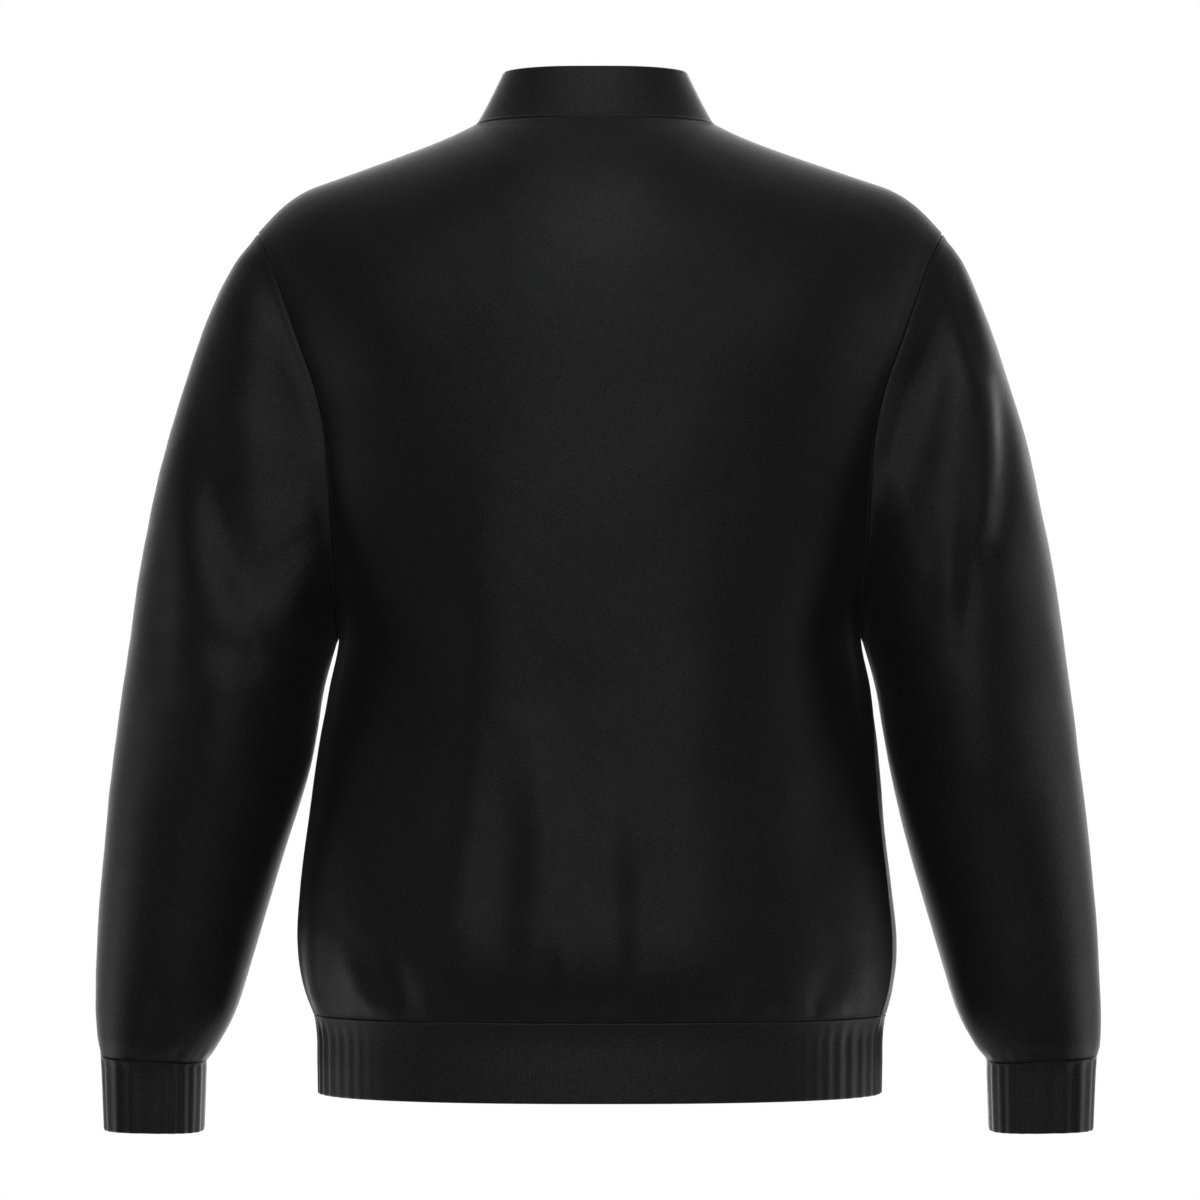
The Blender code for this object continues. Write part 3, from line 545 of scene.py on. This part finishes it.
def noise(material, scale, detail, roughness):
    place = addNode(material, "TexCoord")
    settings = {"Scale": scale, "Detail": detail, "Roughness": roughness}
    return addNode(material, "TexNoise", settings, {"Vector": (place, "Object")}), "Fac"


def weighed(material, source, share, added=None):
    settings = {"operation": "MULTIPLY_ADD", 1: share, 2: 0.0}
    links = {0: source, 2: added} if added else {0: source}
    return addNode(material, "Math", settings, links), "Value"


def makeMaterial(look):
    # a fine grain takes the colour from dark to pale, and the gloss with it
    material = bpy.data.materials.new(look["name"])
    material.use_nodes = True
    shader = material.node_tree.nodes["Principled BSDF"]
    for socket, value in look["shader"].items():
        shader.inputs[socket].default_value = value
    if "grain" not in look:
        return material
    grain = tint = noise(material, *look["grain"])
    if "mottle" in look:
        tint = weighed(material, grain, look["grainShare"],
                       weighed(material, noise(material, *look["mottle"]), 1 - look["grainShare"]))
    ramp = addNode(material, "ValToRGB", {}, {"Fac": tint})
    for stop, position, colour in zip(ramp.color_ramp.elements, look["range"], look["colours"]):
        stop.position = position
        stop.color = linear(colour)
    connect(material, (ramp, "Color"), shader, "Base Color")
    if "vary" in look:
        socket, *ends = look["vary"]
        settings = dict(zip(("From Min", "From Max", "To Min", "To Max"), (*look["range"], *ends)))
        gloss = addNode(material, "MapRange", settings, {"Value": grain})
        connect(material, (gloss, "Result"), shader, socket)
    if "bump" in look:
        if "nap" in look:
            height = noise(material, *look["nap"])
        else:
            cloth = addNode(material, "UVMap", {"uv_map": "cloth"})
            settings = {"Scale": look["wales"]}
            wales = addNode(material, "TexWave", settings, {"Vector": (cloth, "UV")})
            height = weighed(material, (wales, "Fac"), look["waleShare"], grain)
        settings = {"Strength": look["bump"], "Distance": 0.0004}
        bump = addNode(material, "Bump", settings, {"Height": height})
        connect(material, (bump, "Normal"), shader, "Normal")
    return material


# a noise is its scale to the metre, detail and roughness; the range is where it mostly lies
wool = {
    # fulled and brushed: a short nap hides the weave, dull face on and pale at grazing angles
    "name": "blackMeltonWool", "colours": ("#0a0a0b", "#131315"), "range": (0.36, 0.64),
    "grain": (1 / 0.0007, 3.0, 0.7), "grainShare": 0.75, "mottle": (1 / 0.06, 4.0, 0.5),
    "vary": ("Specular IOR Level", 0.15, 0.45), "nap": (1 / 0.0016, 4.0, 0.65), "bump": 0.5,
    "shader": {"Roughness": 0.55, "IOR": 1.45, "Sheen Weight": 0.05, "Sheen Roughness": 0.45},
}
rib = {
    # 1x1 rib in wool and acrylic: soft upright wales, a little paler than the felted body; the wave
    # that makes them repeats every 0.314 m at scale 1
    "name": "blackRibKnit", "colours": ("#0d0d0e", "#18181a"), "range": (0.36, 0.64),
    "grain": (1 / 0.0007, 3.0, 0.7), "vary": ("Specular IOR Level", 0.14, 0.48),
    "wales": 0.314159 / 0.0021, "waleShare": 0.35, "bump": 0.35,
    "shader": {"Roughness": 0.55, "IOR": 1.45, "Sheen Weight": 0.12, "Sheen Roughness": 0.45},
}
thread = {
    # twisted polyester filament, a little glossier than the wool around it
    "name": "blackPolyesterThread", "colours": ("#101011", "#29292b"), "range": (0.0, 1.0),
    "grain": (2500.0, 2.0, 0.5), "shader": {"Roughness": 0.5, "Specular IOR Level": 0.4},
}
enamel = {
    # stoved enamel on a pressed brass cap: a soft, even gloss over black
    "name": "satinBlackEnamel", "colours": ("#0f0f10", "#1b1b1d"), "range": (0.0, 1.0),
    "grain": (900.0, 3.0, 0.5), "vary": ("Roughness", 0.28, 0.42),
    "shader": {"Metallic": 0.0, "IOR": 1.5, "Coat Weight": 0.3, "Coat Roughness": 0.25},
}
floorPaint = {
    # flat emulsion: even, with no shine
    "name": "whiteFloorPaint",
    "shader": {"Base Color": linear("#f0f0f0"), "Roughness": 0.9, "Specular IOR Level": 0.1},
}
cloths = {"cloth": makeMaterial(wool), "rib": makeMaterial(rib)}
sewingThread = makeMaterial(thread)
snapEnamel = makeMaterial(enamel)
print("materials made")

# body panels

panel = {
    "thickness": 0.002, "bodyRows": 90, "armRows": 52, "rollRows": 66,
    "overlapColumns": 6, "neckColumns": 30, "shoulderColumns": 56,
    "evenTop": 0.12, "evenFoot": 0.1, "evenings": 60,
    # folds fade out towards the seams, and gathers fill a strip above the hem seam
    "calmFoot": 0.05, "calmTop": 0.2, "calmSide": 0.1,
    "drawnPlace": 0.007, "drawnReach": 0.011, "drawnStart": 0.004, "drawnSide": 0.05, "drawnStretch": 0.2,
    "slow": (0.07, 0.16, 0.0011), "quick": (0.022, 0.04, 0.00022), "gathers": (0.013, 0.028, 0.0011),
}


def panelRows():
    body = np.linspace(0, 1, panel["bodyRows"] + 1)
    arm = 1 + np.arccos(1 - np.linspace(0, 1, panel["armRows"] + 1)[1:]) / math.pi
    roll = np.linspace(rollUp, topUp, panel["rollRows"] + 1)[1:]
    return np.r_[body, arm, roll]


def panelColumns(face):
    neck = acrossFor(face, form["neckHalf"])
    half = np.r_[
        np.linspace(0, neck, panel["neckColumns"] + 1),
        np.linspace(neck, 1, panel["shoulderColumns"] + 1)[1:],
    ]
    if face == back:
        return np.r_[-half[:0:-1], half]
    overlap = acrossFor(face, form["overlapHalf"])
    return np.r_[np.linspace(-overlap, 0, panel["overlapColumns"] + 1)[:-1], half]


def panelGrid(face, side, seed, cover=0.0):
    up, column = np.meshgrid(panelRows(), panelColumns(face), indexing="ij")
    if face == back:
        points = torsoPoints(face, np.where(column < 0, -1.0, 1.0), np.abs(column), up)
    else:
        points = torsoPoints(face, float(side), column, up)
    keep = softStep((topUp - up) / panel["evenTop"]) * softStep(up / panel["evenFoot"])
    points = softened(points, keep, panel["evenings"])
    normals = -face * side * gridNormals(points)
    x, z = points[..., 0], points[..., 2]
    fromSide = 1 - np.abs(column)
    calm = softStep(up / panel["calmFoot"]) * softStep((topUp - up) / panel["calmTop"])
    folded = foldLift(folds["back" if face == back else "front"], x * side, z)
    slow = unevenness(panel, "slow", x, z, seed)
    quick = unevenness(panel, "quick", x, z, seed)
    lineUp = z - form["hemSeam"]
    drawn = np.exp(-((lineUp - panel["drawnPlace"]) / panel["drawnReach"]) ** 2)
    drawn = drawn * softStep(lineUp / panel["drawnStart"])
    gathers = drawn * unevenness(panel, "gathers", x, z * panel["drawnStretch"], seed)
    lift = (folded + slow + quick) * (calm * softStep(fromSide / panel["calmSide"]))
    lift = lift + gathers * softStep(fromSide / panel["drawnSide"])
    lift = lift + welt(points, 1, last=True) + welt(points, 0, last=True)
    if face == back:
        lift = lift + welt(points, 1)
    under = softStep((form["overlapEnd"] - x * side) / (form["overlapEnd"] - form["overlapHalf"]))
    return points + normals * (lift - cover * under)[..., None]


backPoints = panelGrid(back, left, 3)
frontPoints = {left: panelGrid(front, left, 5), right: panelGrid(front, right, 8, form["overlapDepth"])}
backSettings = dict(panel, edges=("seam", "seam", "seam", "seam"))
frontSettings = dict(panel, edges=("seam", "seam", "fold", "seam"))

# sleeves and cuffs

wrist, cuffEnd = 13, 15  # stations
sleeve = {
    "thickness": 0.002, "edges": ("seam", "seam"), "rings": 196, "around": 184, "headEnd": 4.5,
    # folds fade out towards the seams and from one face to the other, and the inner edge is calmer
    "calmTop": 1.0, "calmWrist": 0.5, "faceBlend": 0.35,
    "innerCalm": 0.8, "innerStart": 0.3, "innerBlend": 0.5,
    # gathers where the cuff draws the wrist in
    "drawnStart": 12.0, "drawnRise": 0.6, "drawnFall": 0.15, "drawnAcross": 1.3, "drawnStretch": 0.2,
    "slow": (0.06, 0.13, 0.0009), "quick": (0.022, 0.04, 0.0002), "gathers": (0.012, 0.022, 0.001),
}
cuff = {
    "thickness": 0.003, "edges": ("seam", "fold"), "rings": 22, "around": 216,
    "ripple": 0.00045, "ripples": 21, "rippleStart": 0.5, "wander": 1.2, "wanders": 3,
}


def armholeLine(angles, backEdge, frontEdge):
    # the armhole seam round from the shoulder tip over the back to the underarm, and up the front
    overBack = backEdge[panel["bodyRows"]:][::-1]
    upFront = frontEdge[panel["bodyRows"]:]
    places = np.arange(len(overBack))
    turns = (angles / math.pi)[:, None]
    spots = np.where(turns <= 1, turns, turns - 1)[:, 0] * (len(overBack) - 1)
    return np.where(turns <= 1, valuesAt(spots, places, overBack), valuesAt(spots, places, upFront))


def sleeveGrid(side, name, backEdge, frontEdge, seed):
    points, station, angle = tubeGrid(sleeveSizes, side, 0, wrist, sleeve)
    fade = 1 - softStep(station / sleeve["headEnd"])
    points = points + fade[..., None] * (armholeLine(angle[0], backEdge, frontEdge) - points[0])
    normals = -side * gridNormals(points, closed=True)
    x, y, z = points[..., 0] * side, points[..., 1], points[..., 2]
    onBack = softStep(np.sin(angle) / sleeve["faceBlend"])
    onFront = softStep(-np.sin(angle) / sleeve["faceBlend"])
    folded = foldLift(folds[name + "Back"], x, z) * onBack + foldLift(folds[name + "Front"], x, z) * onFront
    slow = unevenness(sleeve, "slow", y, z, seed)
    quick = unevenness(sleeve, "quick", x + y, z, seed)
    drawn = softStep((station - sleeve["drawnStart"]) / sleeve["drawnRise"])
    drawn = drawn * softStep((wrist - station) / sleeve["drawnFall"])
    gathers = drawn * unevenness(
        sleeve, "gathers", x * sleeve["drawnAcross"] + y, z * sleeve["drawnStretch"], seed)
    inward = softStep((-np.cos(angle) - sleeve["innerStart"]) / sleeve["innerBlend"])
    calm = softStep(station / sleeve["calmTop"]) * softStep((wrist - station) / sleeve["calmWrist"])
    lift = (folded + (slow + quick) * (1 - sleeve["innerCalm"] * inward)) * calm + gathers + welt(points, 0)
    return points + normals * lift[..., None]


def cuffGrid(side):
    points, station, angle = tubeGrid(cuffSizes, side, wrist, cuffEnd, cuff)
    normals = -side * gridNormals(points, closed=True)
    ripple = np.sin(cuff["ripples"] * angle + cuff["wander"] * np.sin(cuff["wanders"] * angle))
    fromSeam = softStep((station - wrist) / cuff["rippleStart"])
    return points + normals * (cuff["ripple"] * ripple * fromSeam)[..., None]


backSide = {left: -1, right: 0}  # the back's last and first column
sleevePoints = {
    side: sleeveGrid(side, name, backPoints[:, backSide[side]], frontPoints[side][:, -1], seed)
    for side, name, seed in ((left, "sleeveLeft", 21), (right, "sleeveRight", 31))}
cuffPoints = {side: cuffGrid(side) for side in (left, right)}

# collar and hem band: each runs from the right front round the back to the left front

collar = {
    "thickness": 0.003, "edges": ("seam", "fold", "fold", "fold"), "rows": 20, "columns": 300, "tall": 0.043,
    "rise": 0.039, "lean": 0.0205, "leanPower": 0.9, "centre": -0.008,
}
band = {
    "thickness": 0.003, "edges": ("seam", "fold", "fold", "fold"), "rows": 24, "columns": 560, "tall": 0.06,
    # a ripple at both sides, where the rib draws in, and the height, length and start of what makes it uneven
    "ripple": 0.001, "pitch": 0.0108, "reach": 0.05, "reachPower": 2.5, "rise": 0.3, "fall": 0.25,
    "wander": ((0.003, 0.031, 0), (0.0018, 0.013, 1)),
}
middle = panel["neckColumns"] + panel["shoulderColumns"]
lastNeck = panel["overlapColumns"] + panel["neckColumns"]
# the row of each grid, and the columns of the fronts and of the back
neckEdge = (-1, slice(panel["overlapColumns"], lastNeck),
            slice(middle - panel["neckColumns"], middle + panel["neckColumns"] + 1))
hemEdge = (0, slice(0, -1), slice(None))


def roundBody(edge, fronts, backs):
    row, frontColumns, backColumns = edge
    return np.r_[
        fronts[right][row, frontColumns], backs[row, backColumns], fronts[left][row, frontColumns][::-1]]


def finer(line, count):
    # the same line with points at even distances
    places = lengths(line)
    spots = np.linspace(0, places[-1], count)
    return valuesAt(spots, places, line), spots


def stripUvs(spots, settings):
    tall = np.linspace(0, settings["tall"], settings["rows"] + 1)[:, None]
    return np.stack(np.broadcast_arrays(spots, tall), -1)


def collarGrid(line):
    inward = np.array([form["neckShift"], collar["centre"], 0]) - line
    inward[:, 2] = 0
    inward = unit(inward)
    shares = np.linspace(0, 1, collar["rows"] + 1)[:, None, None]
    rows = line + inward * collar["lean"] * shares ** collar["leanPower"]
    rows[..., 2] += collar["rise"] * shares[..., 0]
    return rows


def bandGrid(line, spots, sideSpots):
    heights = np.linspace(form["hemSeam"], bandSizes["height"][-1], band["rows"] + 1)[:, None]
    table = {name: values[::-1] for name, values in bandSizes.items()}
    wide, deepBack, deepFront = (
        readColumn(table, name, heights) / table[name][-1] for name in ("halfWidth", "back", "front"))
    x = line[:, 0] * wide
    deep = line[:, 1] - form["sideMiddle"]
    y = form["sideMiddle"] + deep * np.where(deep > 0, deepBack, deepFront)
    points = np.stack([x, y, np.broadcast_to(heights, x.shape)], -1)
    nearSide = sum(
        np.exp(-(np.abs(spots - place) / band["reach"]) ** band["reachPower"]) for place in sideSpots)
    wander = sum(height * np.sin(spots / length + start) for height, length, start in band["wander"])
    ripple = band["ripple"] * np.sin(2 * math.pi * (spots + wander) / band["pitch"]) * nearSide
    share = np.linspace(0, 1, band["rows"] + 1)[:, None]
    lift = ripple * softStep(share / band["rise"]) * (1 - band["fall"] * share)
    return points + gridNormals(points) * lift[..., None]


neckLine = roundBody(neckEdge, frontPoints, backPoints)
neckSeam, neckSpots = finer(neckLine, collar["columns"])
collarPoints = collarGrid(neckSeam)
hemLine = roundBody(hemEdge, frontPoints, backPoints)
hemSeam, hemSpots = finer(hemLine, band["columns"])
sideSpots = [
    hemSpots[np.argmin(np.linalg.norm(hemSeam - backPoints[0, column], axis=-1))] for column in (0, -1)]
bandPoints = bandGrid(hemSeam, hemSpots, sideSpots)

# the seams: neighbours share their normals there, and then each piece is made

backNormals = -gridNormals(backPoints)
frontNormals = {side: side * gridNormals(frontPoints[side]) for side in (left, right)}
sleeveNormals = {side: -side * gridNormals(sleevePoints[side], True) for side in (left, right)}
cuffNormals = {side: -side * gridNormals(cuffPoints[side], True) for side in (left, right)}
collarNormals = -gridNormals(collarPoints)
bandNormals = gridNormals(bandPoints)
armRow = panel["bodyRows"]
neckEnd = panel["neckColumns"]

for side in (left, right):
    frontSide = frontNormals[side]
    backEdge = backNormals[:, backSide[side]]
    backHalf = backNormals[-1, middle::side]
    shoulder = unit(backHalf[neckEnd:] + frontSide[-1, lastNeck:])
    backHalf[neckEnd:] = shoulder
    frontSide[-1, lastNeck:] = shoulder
    sideSeam = unit(backEdge[:armRow] + frontSide[:armRow, -1])
    backEdge[:armRow] = sideSeam
    frontSide[:armRow, -1] = sideSeam

    backLine = backPoints[armRow:, backSide[side]]
    armhole = np.r_[backLine[::-1], frontPoints[side][armRow + 1:, -1]]
    armholeNormals = np.r_[backEdge[armRow:][::-1], frontSide[armRow + 1:, -1]]
    bodySide, sleeveSide = shareSeam(
        armhole, armholeNormals, wrapped(sleevePoints[side][0]), wrapped(sleeveNormals[side][0]))
    backEdge[armRow:] = bodySide[:len(backLine)][::-1]
    frontSide[armRow:, -1] = bodySide[len(backLine) - 1:]
    sleeveNormals[side][0] = sleeveSide[:-1]

    upper, lower = shareSeam(wrapped(sleevePoints[side][-1]), wrapped(sleeveNormals[side][-1]),
                             wrapped(cuffPoints[side][0]), wrapped(cuffNormals[side][0]))
    sleeveNormals[side][-1] = upper[:-1]
    cuffNormals[side][0] = lower[:-1]

for edge, bodyLine, stripLine, stripNormals in (
    (neckEdge, neckLine, neckSeam, collarNormals),
    (hemEdge, hemLine, hemSeam, bandNormals),
):
    row, frontColumns, backColumns = edge
    shared, stripNormals[0] = shareSeam(
        bodyLine, roundBody(edge, frontNormals, backNormals), stripLine, stripNormals[0])
    count = len(frontNormals[right][row, frontColumns])
    frontNormals[right][row, frontColumns] = shared[:count]
    backNormals[row, backColumns] = shared[count:-count]
    frontNormals[left][row, frontColumns] = shared[-count:][::-1]

# each piece's node, slot, grid, normals, facing and settings, and its flat cut's width, length and area
sheets = {
    "backPanel": ("back", "cloth", backPoints, backNormals, -1, backSettings, (0.53, 0.68, 0.32)),
    "leftFront": (
        "front_left", "cloth", frontPoints[left], frontNormals[left], 1, frontSettings, (0.33, 0.66, 0.175)),
    "rightFront": (
        "front_right", "cloth", frontPoints[right], frontNormals[right], -1, frontSettings,
        (0.33, 0.66, 0.18)),
    "sleeveLeft": (
        "sleeve_left", "cloth", sleevePoints[left], sleeveNormals[left], -1, sleeve, (0.47, 0.63, 0.213)),
    "cuffLeft": ("cuff_left", "rib", cuffPoints[left], cuffNormals[left], -1, cuff, (0.24, 0.055, 0.0131)),
    "sleeveRight": (
        "sleeve_right", "cloth", sleevePoints[right], sleeveNormals[right], 1, sleeve, (0.47, 0.63, 0.213)),
    "cuffRight": ("cuff_right", "rib", cuffPoints[right], cuffNormals[right], 1, cuff, (0.24, 0.055, 0.0131)),
    "standCollar": ("collar", "rib", collarPoints, collarNormals, -1, collar, (0.46, 0.043, 0.0195)),
    "hemBand": ("hem_band", "rib", bandPoints, bandNormals, 1, band, (1.08, 0.06, 0.0645)),
}
ribUvs = {
    "standCollar": stripUvs(neckSpots - neckSpots[-1] / 2, collar),
    "hemBand": stripUvs(hemSpots, band),
}
pieces, outers = {}, {}
for name, (node, slot, points, normals, facing, settings, cut) in sheets.items():
    pieces[name], outers[name] = clothPiece(
        name, points, normals, facing, settings, cloths[slot], ribUvs.get(name))
print("cloth pieces made")

# snaps and the placket's stitches

snap = {
    "count": 8, "segments": 64, "rounding": 0.0007, "roundingSegments": 4, "top": 0.9,
    "sharp": math.radians(25), "smooth": math.radians(50),
    # a rolled rim round a shallow dish: each inset as a share of the cap's radius, and how far it then rises
    "insets": ((0.28, 0.0), (0.14, -0.0006), (0.25, 0.00018)),
}


def snapCap(number):
    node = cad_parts[f"snap_{number}"]
    corners = np.array([vertex.co for vertex in node.data.vertices])
    centre = (corners.min(axis=0) + corners.max(axis=0)) / 2
    out = np.linalg.svd(corners - corners.mean(axis=0))[2][2]
    out = out if out[1] < 0 else -out
    heights = (corners - centre) @ out
    seat = centre + out * heights.min()
    rise = heights.max() - heights.min()
    radius = np.linalg.norm(corners - centre - np.outer(heights, out), axis=1).max()
    bpy.ops.mesh.primitive_cylinder_add(
        vertices=snap["segments"], radius=radius, depth=rise, location=(0, 0, rise / 2))
    piece = bpy.context.object
    piece.name = f"snapCap{number}"
    piece.data.name = piece.name
    bpy.ops.object.mode_set(mode="EDIT")
    bpy.ops.mesh.select_all(action="DESELECT")
    bpy.ops.object.mode_set(mode="OBJECT")
    for face in piece.data.polygons:
        face.select = face.normal.z > snap["top"]
    bpy.ops.object.mode_set(mode="EDIT")
    for share, lift in snap["insets"]:
        bpy.ops.mesh.inset(thickness=radius * share)
        bpy.ops.transform.translate(value=(0, 0, lift))
    bpy.ops.object.mode_set(mode="OBJECT")
    rounding = piece.modifiers.new("rounding", "BEVEL")
    rounding.width = snap["rounding"]
    rounding.segments = snap["roundingSegments"]
    rounding.limit_method = "ANGLE"
    rounding.angle_limit = snap["sharp"]
    bpy.ops.object.modifier_apply(modifier="rounding")
    bpy.ops.object.shade_smooth_by_angle(angle=snap["smooth"])
    upward = unit(np.cross(out, [1, 0, 0]))
    turn = Matrix([np.cross(upward, out), upward, out]).transposed().to_4x4()
    piece.matrix_world = Matrix.Translation(Vector(seat)) @ turn
    bpy.ops.object.transform_apply()
    piece.data.materials.append(snapEnamel)
    return piece


snapPieces = {number: snapCap(number) for number in range(1, snap["count"] + 1)}

stitch = {
    "long": 0.0026, "gap": 0.0011, "radius": 0.0003, "fromEdge": 0.0055, "endRows": 8, "ahead": 0.0001,
    # where each ring of a stitch lies along it, its rise and its share of the radius
    "rings": (
        (0.0, -0.00025, 0.45), (0.12, 0.0, 0.9), (0.5, 0.00012, 1.0), (0.88, 0.0, 0.9),
        (1.0, -0.00025, 0.45)),
    "sides": 6,
}


def stitchRow(name, line, normals):
    # one row of lockstitches: each a short, slightly arched dash of thread
    places = lengths(line)
    pitch = stitch["long"] + stitch["gap"]
    count = int(places[-1] / pitch)
    sides, rings = stitch["sides"], len(stitch["rings"])
    turns = 2 * math.pi * np.arange(sides)[:, None] / sides
    points = []
    for number in range(count):
        for share, arch, size in stitch["rings"]:
            at = number * pitch + stitch["gap"] / 2 + stitch["long"] * share
            centre = valuesAt(at, places, line)
            normal = unit(valuesAt(at, places, normals))
            beside = unit(np.cross(valuesAt(at + stitch["ahead"], places, line) - centre, normal))
            radius = stitch["radius"] * size
            points.append(centre + normal * (arch + radius * np.sin(turns)) + beside * radius * np.cos(turns))
    low = sides * np.arange(count * rings).reshape(count, rings)[:, :-1].reshape(-1, 1)
    high = low + sides
    corner = np.arange(sides)
    over = np.roll(corner, -1)
    quads = np.stack([low + corner, high + corner, high + over, low + over], -1).reshape(-1, 4)
    points = np.concatenate(points)
    return makeMesh(name, points, quads, np.zeros((len(points), 2)), sewingThread)


def alongColumn(points, values, place):
    # values up a panel at a distance from its first edge
    return np.array([valuesAt(place, lengths(row), value) for row, value in zip(points, values)])


placketLine, placketNormals = (
    alongColumn(outers["leftFront"], values, stitch["fromEdge"])[stitch["endRows"]:-stitch["endRows"]]
    for values in (outers["leftFront"], gridNormals(outers["leftFront"])))
placketStitches = stitchRow("placketStitches", placketLine, placketNormals)
print("snaps and stitches made")

# what each piece stands for

stands = [(pieces[name], node, slot) for name, (node, slot, *_) in sheets.items()]
stands += [(piece, f"snap_{number}", "snap") for number, piece in snapPieces.items()]
for piece, node, slot in stands:
    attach(piece, "root")
    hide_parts(node)
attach(placketStitches, "root")

# studio

studio = {
    "floor": -3.0, "floorRadius": 1.6, "aim": (0, 0, -0.34),
    "camera": (0.0, 4.2, -0.347), "sensor": 36, "shown": 0.876,
    # the room's glow from behind the jacket (0) to behind the camera (1)
    "wallGlow": (
        (0.0, 5.0), (0.075, 1.8), (0.15, 0.48), (0.25, 0.07), (0.4, 0.0), (0.75, 0.005), (1.0, 0.1)),
    # the same for what is added overhead, and how much of it from level (0) to overhead (1)
    "upperGlow": ((0.0, 1.6), (0.15, 0.6), (0.25, 0.26), (0.5, 0.015), (0.75, 0.02), (1.0, 0.16)),
    "gain": ((0.0, 0.0), (0.25, 0.22), (0.5, 0.89), (0.75, 2.00), (1.0, 3.56)),
    # turn from the camera's side towards the picture's left, rise, distance, size, power
    "lights": (
        (0, 0, 4.2, 1.2, 28), (0, 50, 4.2, 1.2, 42),
        (24, 32, 4.2, 1.2, 8), (-24, 32, 4.2, 1.2, 8),
        (98, -15, 3.4, 1.3, 17), (-98, -15, 3.4, 1.3, 20),
        (108, -36, 3.4, 1.3, 24), (-108, -36, 3.4, 1.3, 30),
        (95, 12, 3.6, 1.3, 2), (-95, 12, 3.6, 1.3, 9),
        (140, 12, 3.6, 1.3, 4), (-140, 12, 3.6, 1.3, 18),
    ),
}
bpy.ops.mesh.primitive_circle_add(
    vertices=96, radius=studio["floorRadius"], fill_type="NGON", location=(0, 0, studio["floor"]))
floor = bpy.context.object
floor.name = "studioFloor"
floor.data.materials.append(makeMaterial(floorPaint))

world = bpy.data.worlds.new("softStudio")
scene.world = world
world.use_nodes = True
room = world.node_tree.nodes["Background"]
view = addNode(world, "TexCoord")
parts = addNode(world, "SeparateXYZ", {}, {"Vector": (view, "Generated")})


def roomGlow(axis, lowest, stops):
    # how bright the room is along one axis of the direction looked in
    settings = {"From Min": lowest, "From Max": 1.0}
    place = addNode(world, "MapRange", settings, {"Value": (parts, axis)})
    glow = addNode(world, "ValToRGB", {}, {"Fac": (place, "Result")})
    spots = glow.color_ramp.elements
    for index, (position, strength) in enumerate(stops):
        spot = spots[index] if index < 2 else spots.new(position)
        spot.position = position
        spot.color = (strength, strength, strength, 1)
    return glow, "Color"


glow = addNode(world, "VectorMath", {"operation": "MULTIPLY_ADD"}, {
    0: roomGlow("Y", -1.0, studio["upperGlow"]),
    1: roomGlow("Z", 0.0, studio["gain"]),
    2: roomGlow("Y", -1.0, studio["wallGlow"]),
})
connect(world, (glow, "Vector"), room, "Color")
seen = addNode(world, "Background", {"Color": (1, 1, 1, 1)})
path = addNode(world, "LightPath")
mix = addNode(world, "MixShader", {}, {
    "Fac": (path, "Is Camera Ray"), 1: (room, "Background"), 2: (seen, "Background"),
})
connect(world, (mix, "Shader"), world.node_tree.nodes["World Output"], "Surface")

aim = Vector(studio["aim"])
for index, (turn, rise, away, size, power) in enumerate(studio["lights"]):
    turn, rise = math.radians(turn), math.radians(rise)
    level = Vector((math.sin(turn), math.cos(turn), 0))
    place = aim + away * (level * math.cos(rise) + Vector((0, 0, math.sin(rise))))
    data = bpy.data.lights.new(f"softbox{index}", "AREA")
    data.shape = "DISK"
    data.size = size
    data.energy = power
    lamp = bpy.data.objects.new(data.name, data)
    lamp.location = place
    lamp.rotation_euler = (aim - place).to_track_quat("-Z", "Y").to_euler()
    scene.collection.objects.link(lamp)

cameraData = bpy.data.cameras.new("camera")
cameraData.lens = studio["sensor"] * studio["camera"][1] / studio["shown"]
camera = bpy.data.objects.new("camera", cameraData)
camera.location = studio["camera"]
camera.rotation_euler = (math.radians(90), 0, math.radians(180))
scene.collection.objects.link(camera)
scene.camera = camera
scene.view_settings.view_transform = "Standard"

print("scene made")
